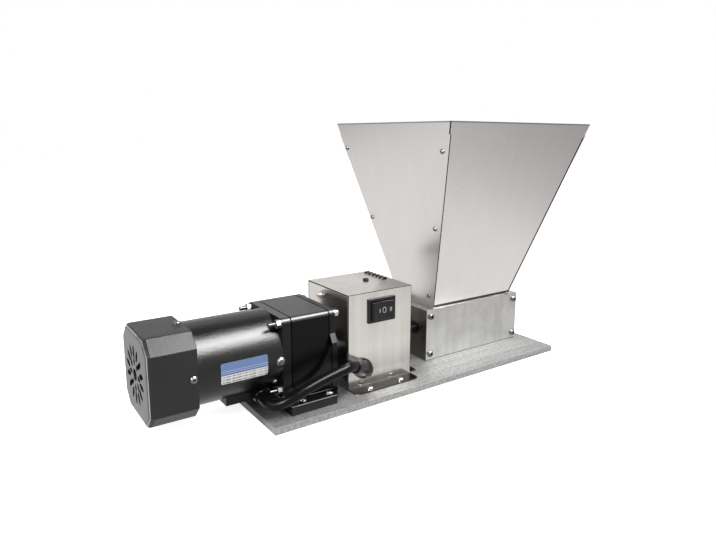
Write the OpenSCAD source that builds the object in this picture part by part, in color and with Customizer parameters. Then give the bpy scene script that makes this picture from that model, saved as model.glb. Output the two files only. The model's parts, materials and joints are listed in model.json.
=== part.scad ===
// Electric grain mill: gear motor, control box and two-roller mill with a hopper on one base plate.
// Origin: centre of the underside of the base plate. +X runs from the motor to the mill, the switch faces -Y.

/* [Base plate] */
// Length of the base plate along the shafts
base_len = 450; // [430:5:520]
// Width of the base plate
base_wid = 200; // [180:5:240]
// Thickness of the base plate
base_thk = 8; // [7:0.5:12]

/* [Mill body] */
// Length of the mill body along the rollers
mill_len = 178; // [165:1:182]
// Width of the mill body across the rollers
mill_wid = 84; // [83:1:96]
// Height of the mill body
mill_h = 71; // [69:1:80]
// Thickness of the two end plates that hold the bearings
mill_end_thk = 14; // [12:1:17]
// Thickness of the front and rear plates
mill_side_thk = 6; // [4:0.5:7]
// Distance from the mill body to the right end of the base plate
mill_margin = 16; // [10:1:24]
// Distance of the plate screws from the top and bottom edges of the plates
plate_screw_inset = 9; // [7:0.5:11]

/* [Rollers] */
// Outer diameter of both rollers
roller_d = 32; // [30:0.5:33]
// Gap between the rollers with the adjusters at rest
roller_gap = 1; // [0.9:0.1:1.6]
// Height of the roller axes above the base plate
roller_z = 41; // [40.5:0.5:43]
// Number of flutes round a roller
roller_flutes = 60; // [40:2:72]
// Depth of a flute
flute_depth = 0.6; // [0.3:0.1:0.9]
// Diameter of the driven roller's shaft
drive_shaft_d = 12; // [10:0.5:13]
// Diameter of the idle roller's journals
journal_d = 10; // [8:0.5:11]
// Outer diameter of the driven roller's bronze bushes
bush_d = 20; // [18:0.5:22]

/* [Gap adjusters] */
// Diameter of the eccentric bush in the end plate
adjuster_d = 26; // [24:0.5:28]
// Offset of the journal bore in the eccentric bush
adjuster_offset = 0.7; // [0.4:0.1:0.8]
// Diameter of the adjuster's knob
knob_d = 34; // [32:0.5:38]
// Thickness of the adjuster's knob
knob_thk = 9; // [7:0.5:12]

/* [Hopper] */
// Length of the hopper's mouth
hopper_top_len = 258; // [220:2:280]
// Width of the hopper's mouth
hopper_top_wid = 244; // [200:2:260]
// Width of the hopper over its lower front and rear edges
hopper_bottom_wid = 76; // [74:1:80]
// Height of the hopper above the mill body
hopper_h = 249; // [200:1:280]
// Thickness of the hopper sheet
hopper_wall = 1.2; // [0.8:0.1:1.6]
// Width of the folded flanges behind the side panels
hopper_flange = 16; // [15:1:20]
// Height of the folded hem round the mouth
hopper_hem = 8; // [5:1:14]
// Depth of the side panels' skirts inside the mill body
skirt_h = 9; // [6:0.5:11]
// Height of the notches in the upper corners of the side panels
notch_h = 15; // [9:1:20]
// Distance of the panel screws from the front corners
screw_inset_front = 11; // [8:0.5:12]
// Distance of the panel screws from the rear corners
screw_inset_rear = 6; // [5.5:0.5:10]

/* [Control box] */
// Length of the control box along the shafts
box_len = 95; // [90:1:102]
// Width of the control box
box_wid = 95; // [88:1:100]
// Height of the control box
box_h = 118.5; // [115:0.5:130]
// Thickness of the control box sheet
box_wall = 1.5; // [1:0.1:2]
// Width of the box's front and rear mounting flanges
box_flange = 18; // [15:0.5:19]
// Distance between the control box and the mill body
box_to_mill = 46; // [38:1:54]
// Distance between the gear motor's bracket and the control box
bracket_to_box = 17; // [14:1:22]

/* [Switch] */
// Width of the switch bezel
switch_w = 40; // [38:0.5:42]
// Height of the switch bezel
switch_h = 30; // [28:0.5:34]
// Depth of the switch body behind the panel
switch_depth = 26; // [22:0.5:27]
// Height of the rocker
rocker_h = 22.5; // [18:0.5:23]
// Radius of the rocker round its pivot
rocker_r = 17; // [14:0.25:17.25]
// Distance of the switch centre below the top of the control box
switch_drop = 24; // [20:0.5:26]

/* [Gear motor] */
// Side of the gear motor's square frame
frame = 90; // [89:0.5:91]
// Diameter of the motor's cylindrical body
motor_d = 92.5; // [91:0.5:93]
// Length of the motor's cylindrical body
motor_len = 96; // [92:1:110]
// Wall of the motor's body
motor_wall = 4; // [3:0.25:4.5]
// Thickness of the motor's front flange
flange_thk = 11; // [10:0.5:13]
// Length of the gearbox housing
gearbox_len = 49; // [48:0.5:56]
// Wall of the gearbox housing
gearbox_wall = 4; // [3:0.25:4]
// Side of the square fan cover
cover_size = 94; // [93:0.5:96]
// Length of the fan cover
cover_len = 51; // [47:1:58]
// Chamfer of the fan cover's long corners
cover_chamfer = 15; // [12:0.5:16]
// Wall of the fan cover
cover_wall = 2.2; // [1.6:0.1:2.2]
// Number of blades on the cooling fan
fan_blades = 9; // [7:1:11]
// Diameter of the cooling fan
fan_d = 76; // [60:1:80]

/* [Gear train] */
// Module of the first gear stage
stage1_module = 0.8; // [0.78:0.005:0.805]
// Teeth cut on the motor shaft
pinion1_teeth = 12; // [12:1:13]
// Teeth of the first gear
gear1_teeth = 43; // [41:1:43]
// Module of the second gear stage
stage2_module = 1; // [0.98:0.005:1.01]
// Teeth of the second pinion
pinion2_teeth = 15; // [14:1:15]
// Teeth of the output gear
gear2_teeth = 37; // [36:1:38]
// Drop from the motor axis to the output axis
gear_drop = 18; // [17.5:0.1:18.5]
// Diameter of the output shaft
output_shaft_d = 15; // [13:0.5:15.5]

/* [Bracket] */
// Thickness of the bracket's upright plate
bracket_plate = 8; // [6:0.5:10]
// Thickness of the bracket's foot
foot_thk = 11; // [10:0.5:12.5]
// Length of the bracket's foot along the shafts
foot_len = 70; // [64:1:78]
// Width of the bracket over both ears
foot_wid = 137; // [134:1:142]
// Width of the bracket's upright plate below the shoulders
bracket_wid = 101; // [98:1:103]
// Thickness of the gussets
gusset_thk = 5.5; // [3:0.25:5.5]

/* [Coupling] */
// Outer diameter of the coupling
coupling_d = 40; // [36:1:44]
// Length of each coupling hub without its jaws
hub_len = 22; // [18:1:24]
// Thickness of the rubber spider
spider_thk = 12; // [10:1:14]

/* [Motor lead] */
// Diameter of the lead's sleeve
lead_d = 12.5; // [11:0.5:13.5]

/* [Hidden] */
$fn = 64;
far = 400;
open_side = -100;
eps = 0.01;

// Clearances
run_fit = 0.05;
seat = 0.2;
shank_fit = 0.1;
open_gap = 0.3;

// Screws: shank radius, head radius and head height
m3 = [1.5, 3, 1.8];
m4 = [2, 3.9, 2.4];
m5 = [2.5, 4.5, 3.6];
washer_r = 5.2;
washer_thk = 1;
slot_wid = 1.4;
earth_slot_turn = 12;
nut_r = 4.9;
nut_h = 4.5;
bolt_tail = 9;

// Mill body and rollers
mill_x1 = base_len / 2 - mill_margin;
mill_x0 = mill_x1 - mill_len;
mill_cx = (mill_x0 + mill_x1) / 2;
mill_top = base_thk + mill_h;
throat_x0 = mill_x0 + mill_end_thk;
throat_x1 = mill_x1 - mill_end_thk;
throat_y = mill_wid / 2 - mill_side_thk;
axis_y = (roller_d + roller_gap) / 2;
shaft_y = -axis_y;
shaft_z = base_thk + roller_z;
roller_end_gap = 1;
roller_x0 = throat_x0 + roller_end_gap;
roller_x1 = throat_x1 - roller_end_gap;
end_screw_x = mill_end_thk / 2;
plate_screw_len = 14;
base_screw_y = 9;
base_screw_len = 14;
counterbore_h = 4.4;
journal_cap = 2;
slot_margin = 2;
slot_half_wid = 22;

// Control box
box_x1 = mill_x0 - box_to_mill;
box_x0 = box_x1 - box_len;
box_y0 = shaft_y - box_wid / 2;
box_y1 = shaft_y + box_wid / 2;
box_top = base_thk + box_h;
louvres = 6;
louvre_pitch = 8;
louvre_len = 8;
louvre_r = 2.4;
louvre_wall = 0.6;
panel_gap = 0.1;
side_y0 = box_y0 + box_wall + panel_gap;
side_y1 = box_y1 - box_wall - panel_gap;
inner_flange = 12;
flange_corner_r = 5;
flange_screw_inset = 24;
flange_screw_y = box_flange / 2 + 2;
side_flange = box_flange - 4;
shaft_hole_r = 13;
box_screw_places = concat(
    [for (x = [box_x0 + flange_screw_inset, box_x1 - flange_screw_inset],
          y = [box_y0 - flange_screw_y, box_y1 + flange_screw_y]) [x, y]],
    [for (y = [box_y0 + flange_screw_inset, box_y1 - flange_screw_inset]) [box_x1 + side_flange / 2 + 1, y]]);

// Gear motor, from the control box to the left
plate_x1 = box_x0 - bracket_to_box;
plate_x0 = plate_x1 - bracket_plate;
gear_x0 = plate_x0 - gearbox_len;
flange_x0 = gear_x0 - flange_thk;
motor_x0 = flange_x0 - motor_len;
cover_x0 = motor_x0 - cover_len;
motor_z = shaft_z + gear_drop;
bush_z = shaft_z + adjuster_offset;
motor_r = motor_d / 2;
bore_r = motor_r - motor_wall;
frame_corner_r = 6;
bolt_off = frame / 2 - 6;
bolt_column_r = 7;
through_bolt = [2.5, 4.5, 6.5];
scoop_r = 11.4;
scoop_len = 3;
scoop_tip = 12;
earth_screw_at = [flange_x0 - 4, 2];
lower_screw_at = [flange_x0 - 7, 37];

// Motor insides
spigot_len = 4;
bearing_r = 16;
bearing_len = 10;
motor_shaft_r = 6;
fan_shaft_r = 5;
air_gap = 0.4;
core_len = 50;
core_x0 = motor_x0 + 16;
core_x1 = core_x0 + core_len;
core_bore_r = 24;
slot_count = 24;
shield_len = 15;
shield_vent_r = 7;
shield_x0 = motor_x0 - shield_len;
shield_r = cover_size / 2 - cover_wall - open_gap;
cover_screw_x = motor_x0 - 5.5;
cover_screw_len = 8;
cover_wall_end = 3;
cover_edge_r = 5;
rear_bearing_x0 = motor_x0 - 11;
front_bearing_x0 = flange_x0 - 1;
fan_x0 = cover_x0 + cover_wall_end + 5;
fan_len = 18;
hub_r = 10;

// Gear train, seen along +X with the motor axis at the centre
pressure_angle = 20;
addendum = 0.75;
dedendum = 1.05;
backlash = 0.16;
centre1 = stage1_module * (pinion1_teeth + gear1_teeth) / 2;
centre2 = stage2_module * (pinion2_teeth + gear2_teeth) / 2;
mid_v = (centre2 * centre2 - centre1 * centre1 - gear_drop * gear_drop) / (2 * gear_drop);
mid_u = sqrt(centre1 * centre1 - mid_v * mid_v);
mid_y = shaft_y + mid_u;
mid_z = motor_z + mid_v;
angle1 = atan2(mid_v, mid_u);
angle2 = atan2(-gear_drop - mid_v, -mid_u);
phase_gear1 = mesh_phase(angle1, 0, pinion1_teeth, gear1_teeth);
phase_gear2 = mesh_phase(angle2, 0, pinion2_teeth, gear2_teeth);
stage1_x0 = gear_x0 + 1.5;
stage1_len = 7;
mid_plate_x0 = stage1_x0 + stage1_len + 2.5;
mid_plate_thk = 4;
stage2_x0 = mid_plate_x0 + mid_plate_thk + 2;
stage2_len = 15;
output_bearing_x0 = plate_x0 - 14;
output_bearing_len = 9;
mid_shaft_r = 4;
mid_ledge = 1.5;
front_wall = 6;
seal_r = 13;
boss_r = 20;

// Coupling, centred in the control box
coupling_x = (box_x0 + box_x1) / 2;
spider_x0 = coupling_x - spider_thk / 2;
spider_x1 = coupling_x + spider_thk / 2;
hub_gap = 0.5;
jaw_angle = 22;
jaw_step = 0.5;
leg_angle = 7.4;
spider_ring_r = 8.5;
jaw_r0 = 9;
output_end = spider_x0 - 2.5;
drive_end = spider_x1 + 2.5;

// Bracket
foot_x0 = plate_x1 - foot_len;
foot_z = base_thk + foot_thk;
ear_end_inset = 12;
lip_wid = 3;
channel_depth = 4;
foot_bolt = [2.5, 4.4, 5];
ear_bolt_y = foot_wid / 2 - 9;
ear_bolt_x = [foot_x0 + 18, foot_x0 + foot_len - 17];
shoulder_z = motor_z + 17;
shoulder_drop = 10;
gusset_r = 56;
gusset_low = 23;
gusset_top = 66;

// Switch
switch_x = coupling_x + 0.5;
switch_cz = box_top - switch_drop;
bezel_thk = 2.5;
body_inset = 1.6;
pivot_y = box_y0 + 2;
trunnion_r = 1.5;
trunnion_len = 1.3;
rocker_front = 9;
rocker_dip = 2.2;
rocker_back = 8;
blade = [0.8, 10, 6.3];
blade_y = box_y0 + switch_depth - 3;

// Capacitor
capacitor_r = 14;
capacitor_len = 60;
strap_thk = 1.2;
strap_wid = 14;
strap_x = coupling_x + 13.5;
capacitor_x0 = strap_x - capacitor_len / 2 - 6;
strap_screw_y = shaft_y + 4.5;
capacitor_y = strap_screw_y + 18;
capacitor_z = box_top - box_wall - seat - strap_thk - seat - capacitor_r;

// Mains gland
gland_x = coupling_x + 22.5;
gland_z = base_thk + 22;
gland_bore_r = 4;
gland_r = 8;

// Lead: exit box under the motor, gland, boot and route
exit_x0 = motor_x0 + 35;
exit_len = 48;
exit_half_wid = 27.5;
exit_z = motor_z - 47.5;
exit_z1 = motor_z - 31;
lead_gland_x = exit_x0 + 37;
lead_gland_z = exit_z + 5;
lead_gland_len = 11;
lead_gland_neck = 4.5;
lead_gland_spigot = [2.9, 3];
lead_socket = 4;
lead_socket_flare = 0.7;
lead_start = [lead_gland_x, shaft_y - exit_half_wid - lead_gland_len + lead_socket, lead_gland_z];
boot_at = [box_x0 + 20.5, box_y0, base_thk + 24.5];
boot_dir = [-23, -15, 13];
boot_len = norm(boot_dir);
boot_flange_r = 12.5;
boot_flange_thk = 3;
boot_lip_thk = 1.7;
boot_root = boot_at - [0, boot_flange_thk, 0];
boot_tip = boot_root + boot_dir;
lead_end = boot_tip - lead_socket * boot_dir / boot_len;
lead_sides = 10;
lead_steps = 3;
lead_route = [for (p = [
    [-107.9, -5, 15], [-103.2, -13.3, 14.8], [-95.4, -19.8, 18.2], [-85.3, -23.4, 23.2],
    [-74, -24.6, 27.8], [-62.5, -25, 31.4], [-51, -25.3, 34.7], [-39.5, -25.8, 37.6],
    [-28, -26.2, 40.1], [-17, -25.3, 41.6]]) [box_x0, box_y0, base_thk] + p];
lead_first = lead_start - [0, 8, 0];
lead_last = lead_end + 9 * boot_dir / boot_len;
lead_points = concat([lead_start, lead_first], lead_route, [lead_last, lead_end]);

// Nameplate, measured as angles round the motor
plate_angles = [-18, 12];
nameplate_x0 = motor_x0 + 23.5;
nameplate_len = 53.5;
nameplate_thk = 0.4;

// Hopper slopes
hopper_z0 = mill_top + 1.6;
hopper_z1 = mill_top + hopper_h;
side_half0 = mill_len / 2 - mill_end_thk - open_gap;
notch_wid = 2.5;
side_slope = atan2(hopper_top_len / 2 - side_half0, hopper_h);
hopper_screw_zs = [for (share = [0.07, 0.465, 0.86]) mill_top + share * hopper_h];

function hopper_half_x(z) = side_half0 + (hopper_top_len / 2 - side_half0) * (z - mill_top) / hopper_h;
function hopper_half_y(z) = hopper_bottom_wid / 2
    + (hopper_top_wid - hopper_bottom_wid) / 2 * (z - mill_top) / hopper_h;

// Angle that puts the follower's gap on the driver's tooth along the line of centres
function mesh_phase(line, driver_phase, driver_teeth, teeth) =
    line + 180 - 180 / teeth + (line - driver_phase) * driver_teeth / teeth;

// Tooth half angle at radius r of an involute gear
function roll(r, base) = sqrt(max(pow(r / base, 2) - 1, 0));
function flank_turn(r, base) = roll(r, base) * 180 / PI - atan(roll(r, base));
function tooth_half(r, teeth, module_size) =
    let (pitch = teeth * module_size / 2, base = pitch * cos(pressure_angle))
    90 / teeth - backlash / 4 / pitch * 180 / PI + flank_turn(pitch, base) - flank_turn(r, base);
function gear_radii(teeth, module_size) =
    let (pitch = teeth * module_size / 2, base = pitch * cos(pressure_angle),
         root = pitch - dedendum * module_size, tip = pitch + addendum * module_size,
         low = max(root + 0.05, base))
    [root, low, low + (tip - low) / 3, low + (tip - low) * 2 / 3, tip];
function gear_points(teeth, module_size, phase) =
    let (radii = gear_radii(teeth, module_size))
    [for (k = [0 : teeth - 1], i = [0 : 2 * len(radii) - 1])
        let (rising = i < len(radii),
             r = radii[rising ? i : 2 * len(radii) - 1 - i],
             a = phase + 360 * k / teeth
                 + (rising ? -1 : 1) * tooth_half(max(r, radii[1]), teeth, module_size))
        r * [cos(a), sin(a)]];

// Smooth curve through the lead's points
function curve_point(p, i, t) =
    let (a = p[max(i - 1, 0)], b = p[i], c = p[i + 1], d = p[min(i + 2, len(p) - 1)])
    0.5 * (2 * b + (c - a) * t + (2 * a - 5 * b + 4 * c - d) * t * t
        + (3 * b - a - 3 * c + d) * t * t * t);
function curve(p, steps) = concat(
    [for (i = [0 : len(p) - 2], s = [0 : steps - 1]) curve_point(p, i, s / steps)],
    [p[len(p) - 1]]);
function unit(v) = v / norm(v);
function ring_at(p, i, r, sides) =
    let (t = unit(p[min(i + 1, len(p) - 1)] - p[max(i - 1, 0)]),
         n = unit(cross(t, [0, 0, 1])), b = cross(n, t))
    [for (s = [0 : sides - 1]) p[i] + r * (cos(360 * s / sides) * n + sin(360 * s / sides) * b)];

// Tube swept along a list of points
module tube(p, r, sides) {
    rings = len(p);
    points = [for (i = [0 : rings - 1]) each ring_at(p, i, r, sides)];
    walls = [for (i = [0 : rings - 2], s = [0 : sides - 1], half = [0, 1])
        let (a = i * sides + s, b = i * sides + (s + 1) % sides, c = b + sides, d = a + sides)
        half == 0 ? [a, c, b] : [a, d, c]];
    start_cap = [for (s = [1 : sides - 2]) [0, s, s + 1]];
    last = (rings - 1) * sides;
    end_cap = [for (s = [1 : sides - 2]) [last, last + s + 1, last + s]];
    polyhedron(points, concat(walls, start_cap, end_cap));
}

// Places a shape drawn in the YZ plane and extruded towards +X
module along_x(x, y = 0, z = 0) {
    translate([x, y, z]) rotate([90, 0, 90]) children();
}

module rod(x0, x1, r, y = shaft_y, z = shaft_z) {
    along_x(x0, y, z) cylinder(h = x1 - x0, r = r);
}

module block(x0, x1, y0, y1, z0, z1) {
    translate([x0, y0, z0]) cube([x1 - x0, y1 - y0, z1 - z0]);
}

module sector(r, a) {
    intersection() {
        circle(r);
        polygon([[0, 0], 2 * r * [cos(a), -sin(a)], 2 * r * [cos(a), sin(a)]]);
    }
}

module rounded_square(w, r) {
    square([w - 2 * r, w], center = true);
    square([w, w - 2 * r], center = true);
    for (x = [-1, 1], y = [-1, 1]) translate([x, y] * (w / 2 - r)) circle(r);
}

module octagon(w, c) {
    h = w / 2;
    polygon([[h, h - c], [h - c, h], [c - h, h], [-h, h - c],
             [-h, c - h], [c - h, -h], [h - c, -h], [h, c - h]]);
}

// Screw with its head's seat at the origin and its shank towards -Z
module screw(size, length) {
    difference() {
        union() {
            cylinder(h = size[2] * 0.6, r = size[1]);
            translate([0, 0, size[2] * 0.6]) cylinder(h = size[2] * 0.4, r1 = size[1], r2 = size[1] * 0.72);
            translate([0, 0, -length]) cylinder(h = length + eps, r = size[0]);
        }
        translate([0, 0, size[2] * 0.45]) cylinder(h = size[2], r = size[0] * 0.72, $fn = 6);
    }
}

module slotted_screw(size, length) {
    difference() {
        union() {
            cylinder(h = size[2] * 0.45, r = size[1]);
            translate([0, 0, size[2] * 0.45]) cylinder(h = size[2] * 0.55, r1 = size[1], r2 = size[1] * 0.68);
            translate([0, 0, -length]) cylinder(h = length + eps, r = size[0]);
        }
        translate([-size[1] - 1, -slot_wid / 2, size[2] * 0.5])
            cube([2 * size[1] + 2, slot_wid, size[2]]);
    }
}

// Washer for an M5 screw
module plain_washer() {
    difference() {
        cylinder(h = washer_thk, r = washer_r);
        translate([0, 0, -1]) cylinder(h = washer_thk + 2, r = m5[0] + shank_fit);
    }
}

module at_corners(off) {
    for (y = [-1, 1], z = [-1, 1]) translate([0, shaft_y + y * off, motor_z + z * off]) children();
}

// Base plate

module base_plate() {
    color("lightgray") difference() {
        block(-base_len / 2, base_len / 2, -base_wid / 2, base_wid / 2, 0, base_thk);
        block(throat_x0 + slot_margin, throat_x1 - slot_margin, -slot_half_wid, slot_half_wid,
              -1, base_thk + 1);
        for (x = [mill_x0 + end_screw_x, mill_x1 - end_screw_x], y = [-1, 1])
            translate([x, y * base_screw_y, 0]) {
                translate([0, 0, -1]) cylinder(h = base_thk + 2, r = m5[0] + shank_fit);
                translate([0, 0, -1]) cylinder(h = 1 + counterbore_h, r = m5[1] + 0.4);
            }
        for (x = ear_bolt_x, y = [-1, 1]) translate([x, shaft_y + y * ear_bolt_y, -1])
            cylinder(h = base_thk + 2, r = m5[0] + shank_fit);
        flange_screw_holes();
    }
}

// Motor

module fan_cover() {
    bevel = [for (a = [0 : 30 : 90]) cover_edge_r * [1 - sin(a), 1 - cos(a)]];
    color([0.13, 0.13, 0.13]) difference() {
        hull() {
            for (b = bevel) along_x(cover_x0 + b[1], shaft_y, motor_z) linear_extrude(0.1)
                octagon(cover_size - 2 * b[0], cover_chamfer - 0.59 * b[0]);
            along_x(motor_x0 - open_gap - 1, shaft_y, motor_z) linear_extrude(1)
                octagon(cover_size, cover_chamfer);
        }
        along_x(cover_x0 + cover_wall_end, shaft_y, motor_z) linear_extrude(cover_len)
            octagon(cover_size - 2 * cover_wall, cover_chamfer - 0.59 * cover_wall);
        along_x(cover_x0 - 1, shaft_y, motor_z) linear_extrude(cover_wall_end + 2) vent_pattern();
        for (a = [0 : 90 : 270]) translate([cover_screw_x, shaft_y, motor_z]) rotate([a, 0, 0])
            cylinder(h = cover_size, r = m4[0] + shank_fit);
    }
}

// Centre hole with two rings of leaf-shaped slots
module vent_pattern() {
    outer_leaf = [[17, 0], [22, 3.3], [29, 2.7], [33, 0], [29, -2.7], [22, -3.3]];
    inner_leaf = [[9.5, 0], [14, 3.4], [20, 0.8], [20, -0.8], [14, -3.4]];
    circle(6.5);
    for (k = [0 : 13]) rotate((k + 0.5) * 360 / 14) polygon(outer_leaf);
    for (k = [0 : 7]) rotate(k * 45) polygon(inner_leaf);
}

module fan_cover_screws() {
    color("silver") for (a = [0 : 90 : 270]) translate([cover_screw_x, shaft_y, motor_z]) rotate([a, 0, 0])
        translate([0, 0, cover_size / 2]) screw(m4, cover_screw_len);
}

module cooling_fan() {
    color([0.2, 0.2, 0.2]) difference() {
        union() {
            rod(fan_x0, fan_x0 + fan_len, hub_r, shaft_y, motor_z);
            rod(fan_x0 + fan_len - 2, fan_x0 + fan_len, fan_d / 2 - 10, shaft_y, motor_z);
            for (k = [0 : fan_blades - 1]) translate([fan_x0, shaft_y, motor_z])
                rotate([360 * k / fan_blades, 0, 0])
                translate([0, hub_r - 1, -0.8]) cube([fan_len, fan_d / 2 - hub_r + 1, 1.6]);
        }
        rod(fan_x0 - 1, fan_x0 + fan_len + 1, fan_shaft_r + run_fit, shaft_y, motor_z);
    }
}

module motor_housing() {
    color([0.1, 0.1, 0.1]) difference() {
        rod(motor_x0, flange_x0, motor_r, shaft_y, motor_z);
        rod(motor_x0 - 1, flange_x0 + 1, bore_r, shaft_y, motor_z);
        at_corners(bolt_off) {
            along_x(flange_x0 - scoop_len) cylinder(h = scoop_len + 1, r = scoop_r);
            along_x(flange_x0 - scoop_len - scoop_tip)
                cylinder(h = scoop_tip, r1 = scoop_r - 3.2, r2 = scoop_r);
        }
        translate([lead_gland_x - 12, shaft_y, motor_z - motor_r - 1]) cylinder(h = 2 * motor_wall, r = 6);
        side_screw_at(earth_screw_at) translate([0, 0, -2 * motor_wall])
            cylinder(h = 3 * motor_wall, r = m5[0] + shank_fit);
        side_screw_at(lower_screw_at) translate([0, 0, -2 * motor_wall])
            cylinder(h = 3 * motor_wall, r = m3[0] + shank_fit);
    }
}

// Puts children on the front of the motor body, low degrees below its middle, with +Z pointing out
module side_screw_at(place) {
    translate([place[0], shaft_y, motor_z]) rotate([90 + place[1], 0, 0]) translate([0, 0, motor_r])
        children();
}

module motor_side_screws() {
    color("silver") {
        side_screw_at(earth_screw_at) translate([0, 0, seat]) {
            plain_washer();
            translate([0, 0, washer_thk]) rotate(earth_slot_turn)
                slotted_screw([m5[0], m5[1], 2.6], motor_wall + washer_thk);
        }
        side_screw_at(lower_screw_at) translate([0, 0, seat]) screw(m3, 5);
    }
}

module rear_end_shield() {
    color([0.45, 0.45, 0.46]) difference() {
        union() {
            rod(shield_x0, motor_x0, shield_r, shaft_y, motor_z);
            rod(motor_x0 - 1, motor_x0 + spigot_len, bore_r - run_fit, shaft_y, motor_z);
        }
        rod(rear_bearing_x0, motor_x0 + spigot_len + 1, bearing_r + run_fit, shaft_y, motor_z);
        rod(shield_x0 - 1, motor_x0, motor_shaft_r + 2, shaft_y, motor_z);
        for (a = [0 : 90 : 270]) translate([cover_screw_x, shaft_y, motor_z]) rotate([a, 0, 0])
            translate([0, 0, cover_size / 2 - cover_screw_len - 2])
            cylinder(h = cover_screw_len + 4, r = m4[0] + shank_fit);
        for (a = [45 : 90 : 315]) translate([shield_x0 - 1, shaft_y, motor_z]) rotate([a, 0, 0])
            translate([0, 0, (bearing_r + bore_r) / 2]) rotate([0, 90, 0])
            cylinder(h = shield_len + spigot_len + 2, r = shield_vent_r);
    }
}

module motor_end_flange() {
    color([0.1, 0.1, 0.1]) difference() {
        union() {
            along_x(flange_x0, shaft_y, motor_z) linear_extrude(flange_thk)
                rounded_square(frame, frame_corner_r);
            rod(flange_x0 - spigot_len, flange_x0 + 1, bore_r - run_fit, shaft_y, motor_z);
        }
        rod(flange_x0 - spigot_len - 1, front_bearing_x0 + bearing_len, bearing_r + run_fit,
            shaft_y, motor_z);
        rod(flange_x0, gear_x0 + 1, motor_shaft_r + 2, shaft_y, motor_z);
        rod(gear_x0 - 5, gear_x0 + 1, mid_shaft_r + run_fit, mid_y, mid_z);
        at_corners(bolt_off) along_x(flange_x0 - 1) cylinder(h = flange_thk + 2, r = m5[0] + shank_fit);
    }
}

module stator_core() {
    color([0.5, 0.5, 0.52]) difference() {
        rod(core_x0, core_x1, bore_r - run_fit, shaft_y, motor_z);
        rod(core_x0 - 1, core_x1 + 1, core_bore_r, shaft_y, motor_z);
        for (k = [0 : slot_count - 1]) translate([core_x0 - 1, shaft_y, motor_z])
            rotate([360 * k / slot_count, 0, 0]) translate([0, core_bore_r - 1, -1.4])
            cube([core_len + 2, 11, 2.8]);
    }
}

module stator_windings() {
    r0 = core_bore_r + 2;
    r1 = bore_r - 2.5;
    color([0.72, 0.4, 0.18]) for (x = [core_x0 - 11, core_x1 + seat]) translate([x, shaft_y, motor_z])
        rotate([0, 90, 0]) difference() {
            union() {
                translate([0, 0, 2]) cylinder(h = 7, r = r1);
                cylinder(h = 2, r1 = r1 - 2, r2 = r1);
                translate([0, 0, 9]) cylinder(h = 1.8, r1 = r1, r2 = r1 - 2);
            }
            translate([0, 0, -1]) cylinder(h = 13, r = r0);
        }
}

module rotor_core() {
    color([0.6, 0.6, 0.62]) difference() {
        union() {
            rod(core_x0, core_x1, core_bore_r - air_gap, shaft_y, motor_z);
            rod(core_x0 - 6, core_x1 + 6, core_bore_r - 3, shaft_y, motor_z);
        }
        rod(core_x0 - 7, core_x1 + 7, motor_shaft_r + run_fit, shaft_y, motor_z);
    }
}

module rotor_shaft() {
    color("silver") {
        rod(fan_x0 - 1, rear_bearing_x0 + 1, fan_shaft_r, shaft_y, motor_z);
        rod(rear_bearing_x0, gear_x0, motor_shaft_r, shaft_y, motor_z);
        rod(gear_x0 - 1, stage1_x0 - 0.5, 3, shaft_y, motor_z);
        along_x(stage1_x0 - 0.5, shaft_y, motor_z) linear_extrude(stage1_len + 1)
            polygon(gear_points(pinion1_teeth, stage1_module, 0));
    }
}

module motor_bearings() {
    color("gainsboro") for (x = [rear_bearing_x0, front_bearing_x0]) difference() {
        rod(x, x + bearing_len, bearing_r, shaft_y, motor_z);
        rod(x - 1, x + bearing_len + 1, motor_shaft_r + run_fit, shaft_y, motor_z);
        for (side = [-1, bearing_len - 1]) difference() {
            rod(x + side, x + side + 2, bearing_r - 3, shaft_y, motor_z);
            rod(x + side - 1, x + side + 3, motor_shaft_r + 3, shaft_y, motor_z);
        }
    }
}

module lead_exit_box() {
    color([0.12, 0.12, 0.12]) difference() {
        block(exit_x0, exit_x0 + exit_len, shaft_y - exit_half_wid, shaft_y + exit_half_wid, exit_z, exit_z1);
        rod(exit_x0 - 1, exit_x0 + exit_len + 1, motor_r + seat, shaft_y, motor_z);
        translate([lead_gland_x, shaft_y - exit_half_wid - 1, lead_gland_z]) rotate([-90, 0, 0])
            cylinder(h = 9, r = lead_gland_spigot[0] + shank_fit);
    }
}

module lead_gland() {
    at = [lead_gland_x, shaft_y - exit_half_wid, lead_gland_z];
    color([0.3, 0.3, 0.3]) difference() {
        union() {
            translate(at) rotate([90, 0, 0]) cylinder(h = lead_gland_len, r = lead_d / 2 - 1.7);
            translate(at - [0, lead_gland_neck, 0]) rotate([90, 0, 0])
                cylinder(h = lead_gland_len - lead_gland_neck, r = lead_d / 2 + 1.4);
            translate(at) rotate([-90, 0, 0]) cylinder(h = lead_gland_spigot[1], r = lead_gland_spigot[0]);
        }
        translate(lead_start + [0, seat, 0]) rotate([90, 0, 0]) lead_socket_bore();
    }
}

// Bore that holds an end of the lead, a little wider at its mouth
module lead_socket_bore() {
    cylinder(h = 2 * lead_socket, r1 = lead_d / 2 + seat, r2 = lead_d / 2 + seat + lead_socket_flare);
}

module motor_lead() {
    color([0.08, 0.08, 0.08]) tube(curve(lead_points, lead_steps), lead_d / 2, lead_sides);
}

module nameplate() {
    span = (plate_angles[1] - plate_angles[0]) / 2;
    middle = (plate_angles[1] + plate_angles[0]) / 2;
    color([0.2, 0.35, 0.75]) along_x(nameplate_x0, shaft_y, motor_z) linear_extrude(nameplate_len)
        rotate(180 - middle) difference() {
            sector(motor_r + run_fit + nameplate_thk, span);
            circle(motor_r + run_fit);
        }
}

// Gearbox

module gearbox_cavity(half) {
    difference() {
        square(2 * half, center = true);
        for (y = [-1, 1], z = [-1, 1]) translate([y, z] * bolt_off) circle(bolt_column_r);
    }
}

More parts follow.
